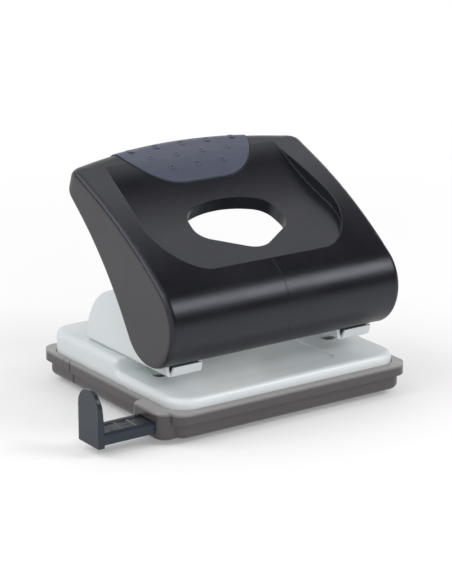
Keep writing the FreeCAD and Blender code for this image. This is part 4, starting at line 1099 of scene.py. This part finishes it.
def build_flag():
    """A dark curved screen in front of the punch, seen only in reflections."""
    corners = []
    faces = []
    for row in range(FLAG_ROWS + 1):
        rise = math.radians(FLAG_TOP * row / FLAG_ROWS)
        for column in range(FLAG_COLUMNS + 1):
            turn = math.radians(FLAG_FROM + (FLAG_TO - FLAG_FROM) * column / FLAG_COLUMNS)
            corners.append(
                (
                    FLAG_RADIUS * math.cos(rise) * math.cos(turn),
                    FLAG_RADIUS * math.cos(rise) * math.sin(turn),
                    FLAG_RADIUS * math.sin(rise),
                )
            )
    for row in range(FLAG_ROWS):
        for column in range(FLAG_COLUMNS):
            first = row * (FLAG_COLUMNS + 1) + column
            above = first + FLAG_COLUMNS + 1
            faces.append((first, first + 1, above + 1, above))
    mesh = bpy.data.meshes.new("front_flag")
    mesh.from_pydata(corners, [], faces)
    made = bpy.data.materials.new("Dark Screen")
    made.use_nodes = True
    tree = made.node_tree
    tree.nodes.clear()
    glow = node(tree, "ShaderNodeEmission", {"Color": (0.05, 0.05, 0.055, 1.0), "Strength": 1.0})
    out = node(tree, "ShaderNodeOutputMaterial")
    tree.links.new(glow.outputs[0], out.inputs["Surface"])
    mesh.materials.append(made)
    flag = bpy.data.objects.new("front_flag", mesh)
    bpy.context.scene.collection.objects.link(flag)
    flag.visible_camera = False
    flag.visible_transmission = False
    flag.visible_diffuse = False
    flag.visible_shadow = False


def add_lamp(name, spot, aim, size, power):
    """A soft rectangular lamp at spot, turned towards aim."""
    lamp = bpy.data.lights.new(name, "AREA")
    lamp.shape = "RECTANGLE"
    lamp.size, lamp.size_y = size
    lamp.energy = power
    holder = bpy.data.objects.new(name, lamp)
    holder.location = spot
    holder.rotation_euler = (aim - Vector(spot)).to_track_quat("-Z", "Y").to_euler()
    bpy.context.scene.collection.objects.link(holder)
    holder.visible_camera = False
    return holder


class PUNCH_PT_panel(bpy.types.Panel):
    """Lists the punch's operators and settings"""

    bl_label = "Desk Punch"
    bl_idname = "PUNCH_PT_panel"
    bl_space_type = "VIEW_3D"
    bl_region_type = "UI"
    bl_category = "Punch"

    def draw(self, context):
        for operator in OPERATORS:
            self.layout.operator(operator.bl_idname)
        for group in (
            context.scene.punch_finishes, context.scene.punch_details, context.scene.punch_studio
        ):
            box = self.layout.box()
            for name in group.__annotations__:
                box.prop(group, name)


SETTINGS = {
    "punch_finishes": PunchFinishes,
    "punch_details": PunchDetails,
    "punch_studio": PunchStudio,
}
OPERATORS = (
    PUNCH_OT_finishes,
    PUNCH_OT_grip_skin,
    PUNCH_OT_grip_pips,
    PUNCH_OT_guide_scale,
    PUNCH_OT_return_springs,
    PUNCH_OT_stage,
)


def register():
    for name, group in SETTINGS.items():
        bpy.utils.register_class(group)
        setattr(bpy.types.Scene, name, PointerProperty(type=group))
    for made in (*OPERATORS, PUNCH_PT_panel):
        bpy.utils.register_class(made)


def unregister():
    for made in (PUNCH_PT_panel, *reversed(OPERATORS)):
        bpy.utils.unregister_class(made)
    for name, group in SETTINGS.items():
        delattr(bpy.types.Scene, name)
        bpy.utils.unregister_class(group)


def main():
    register()
    bpy.ops.punch.finishes()
    bpy.ops.punch.grip_skin()
    bpy.ops.punch.grip_pips()
    bpy.ops.punch.guide_scale()
    bpy.ops.punch.return_springs()
    bpy.ops.punch.stage()


if __name__ == "__main__":
    main()
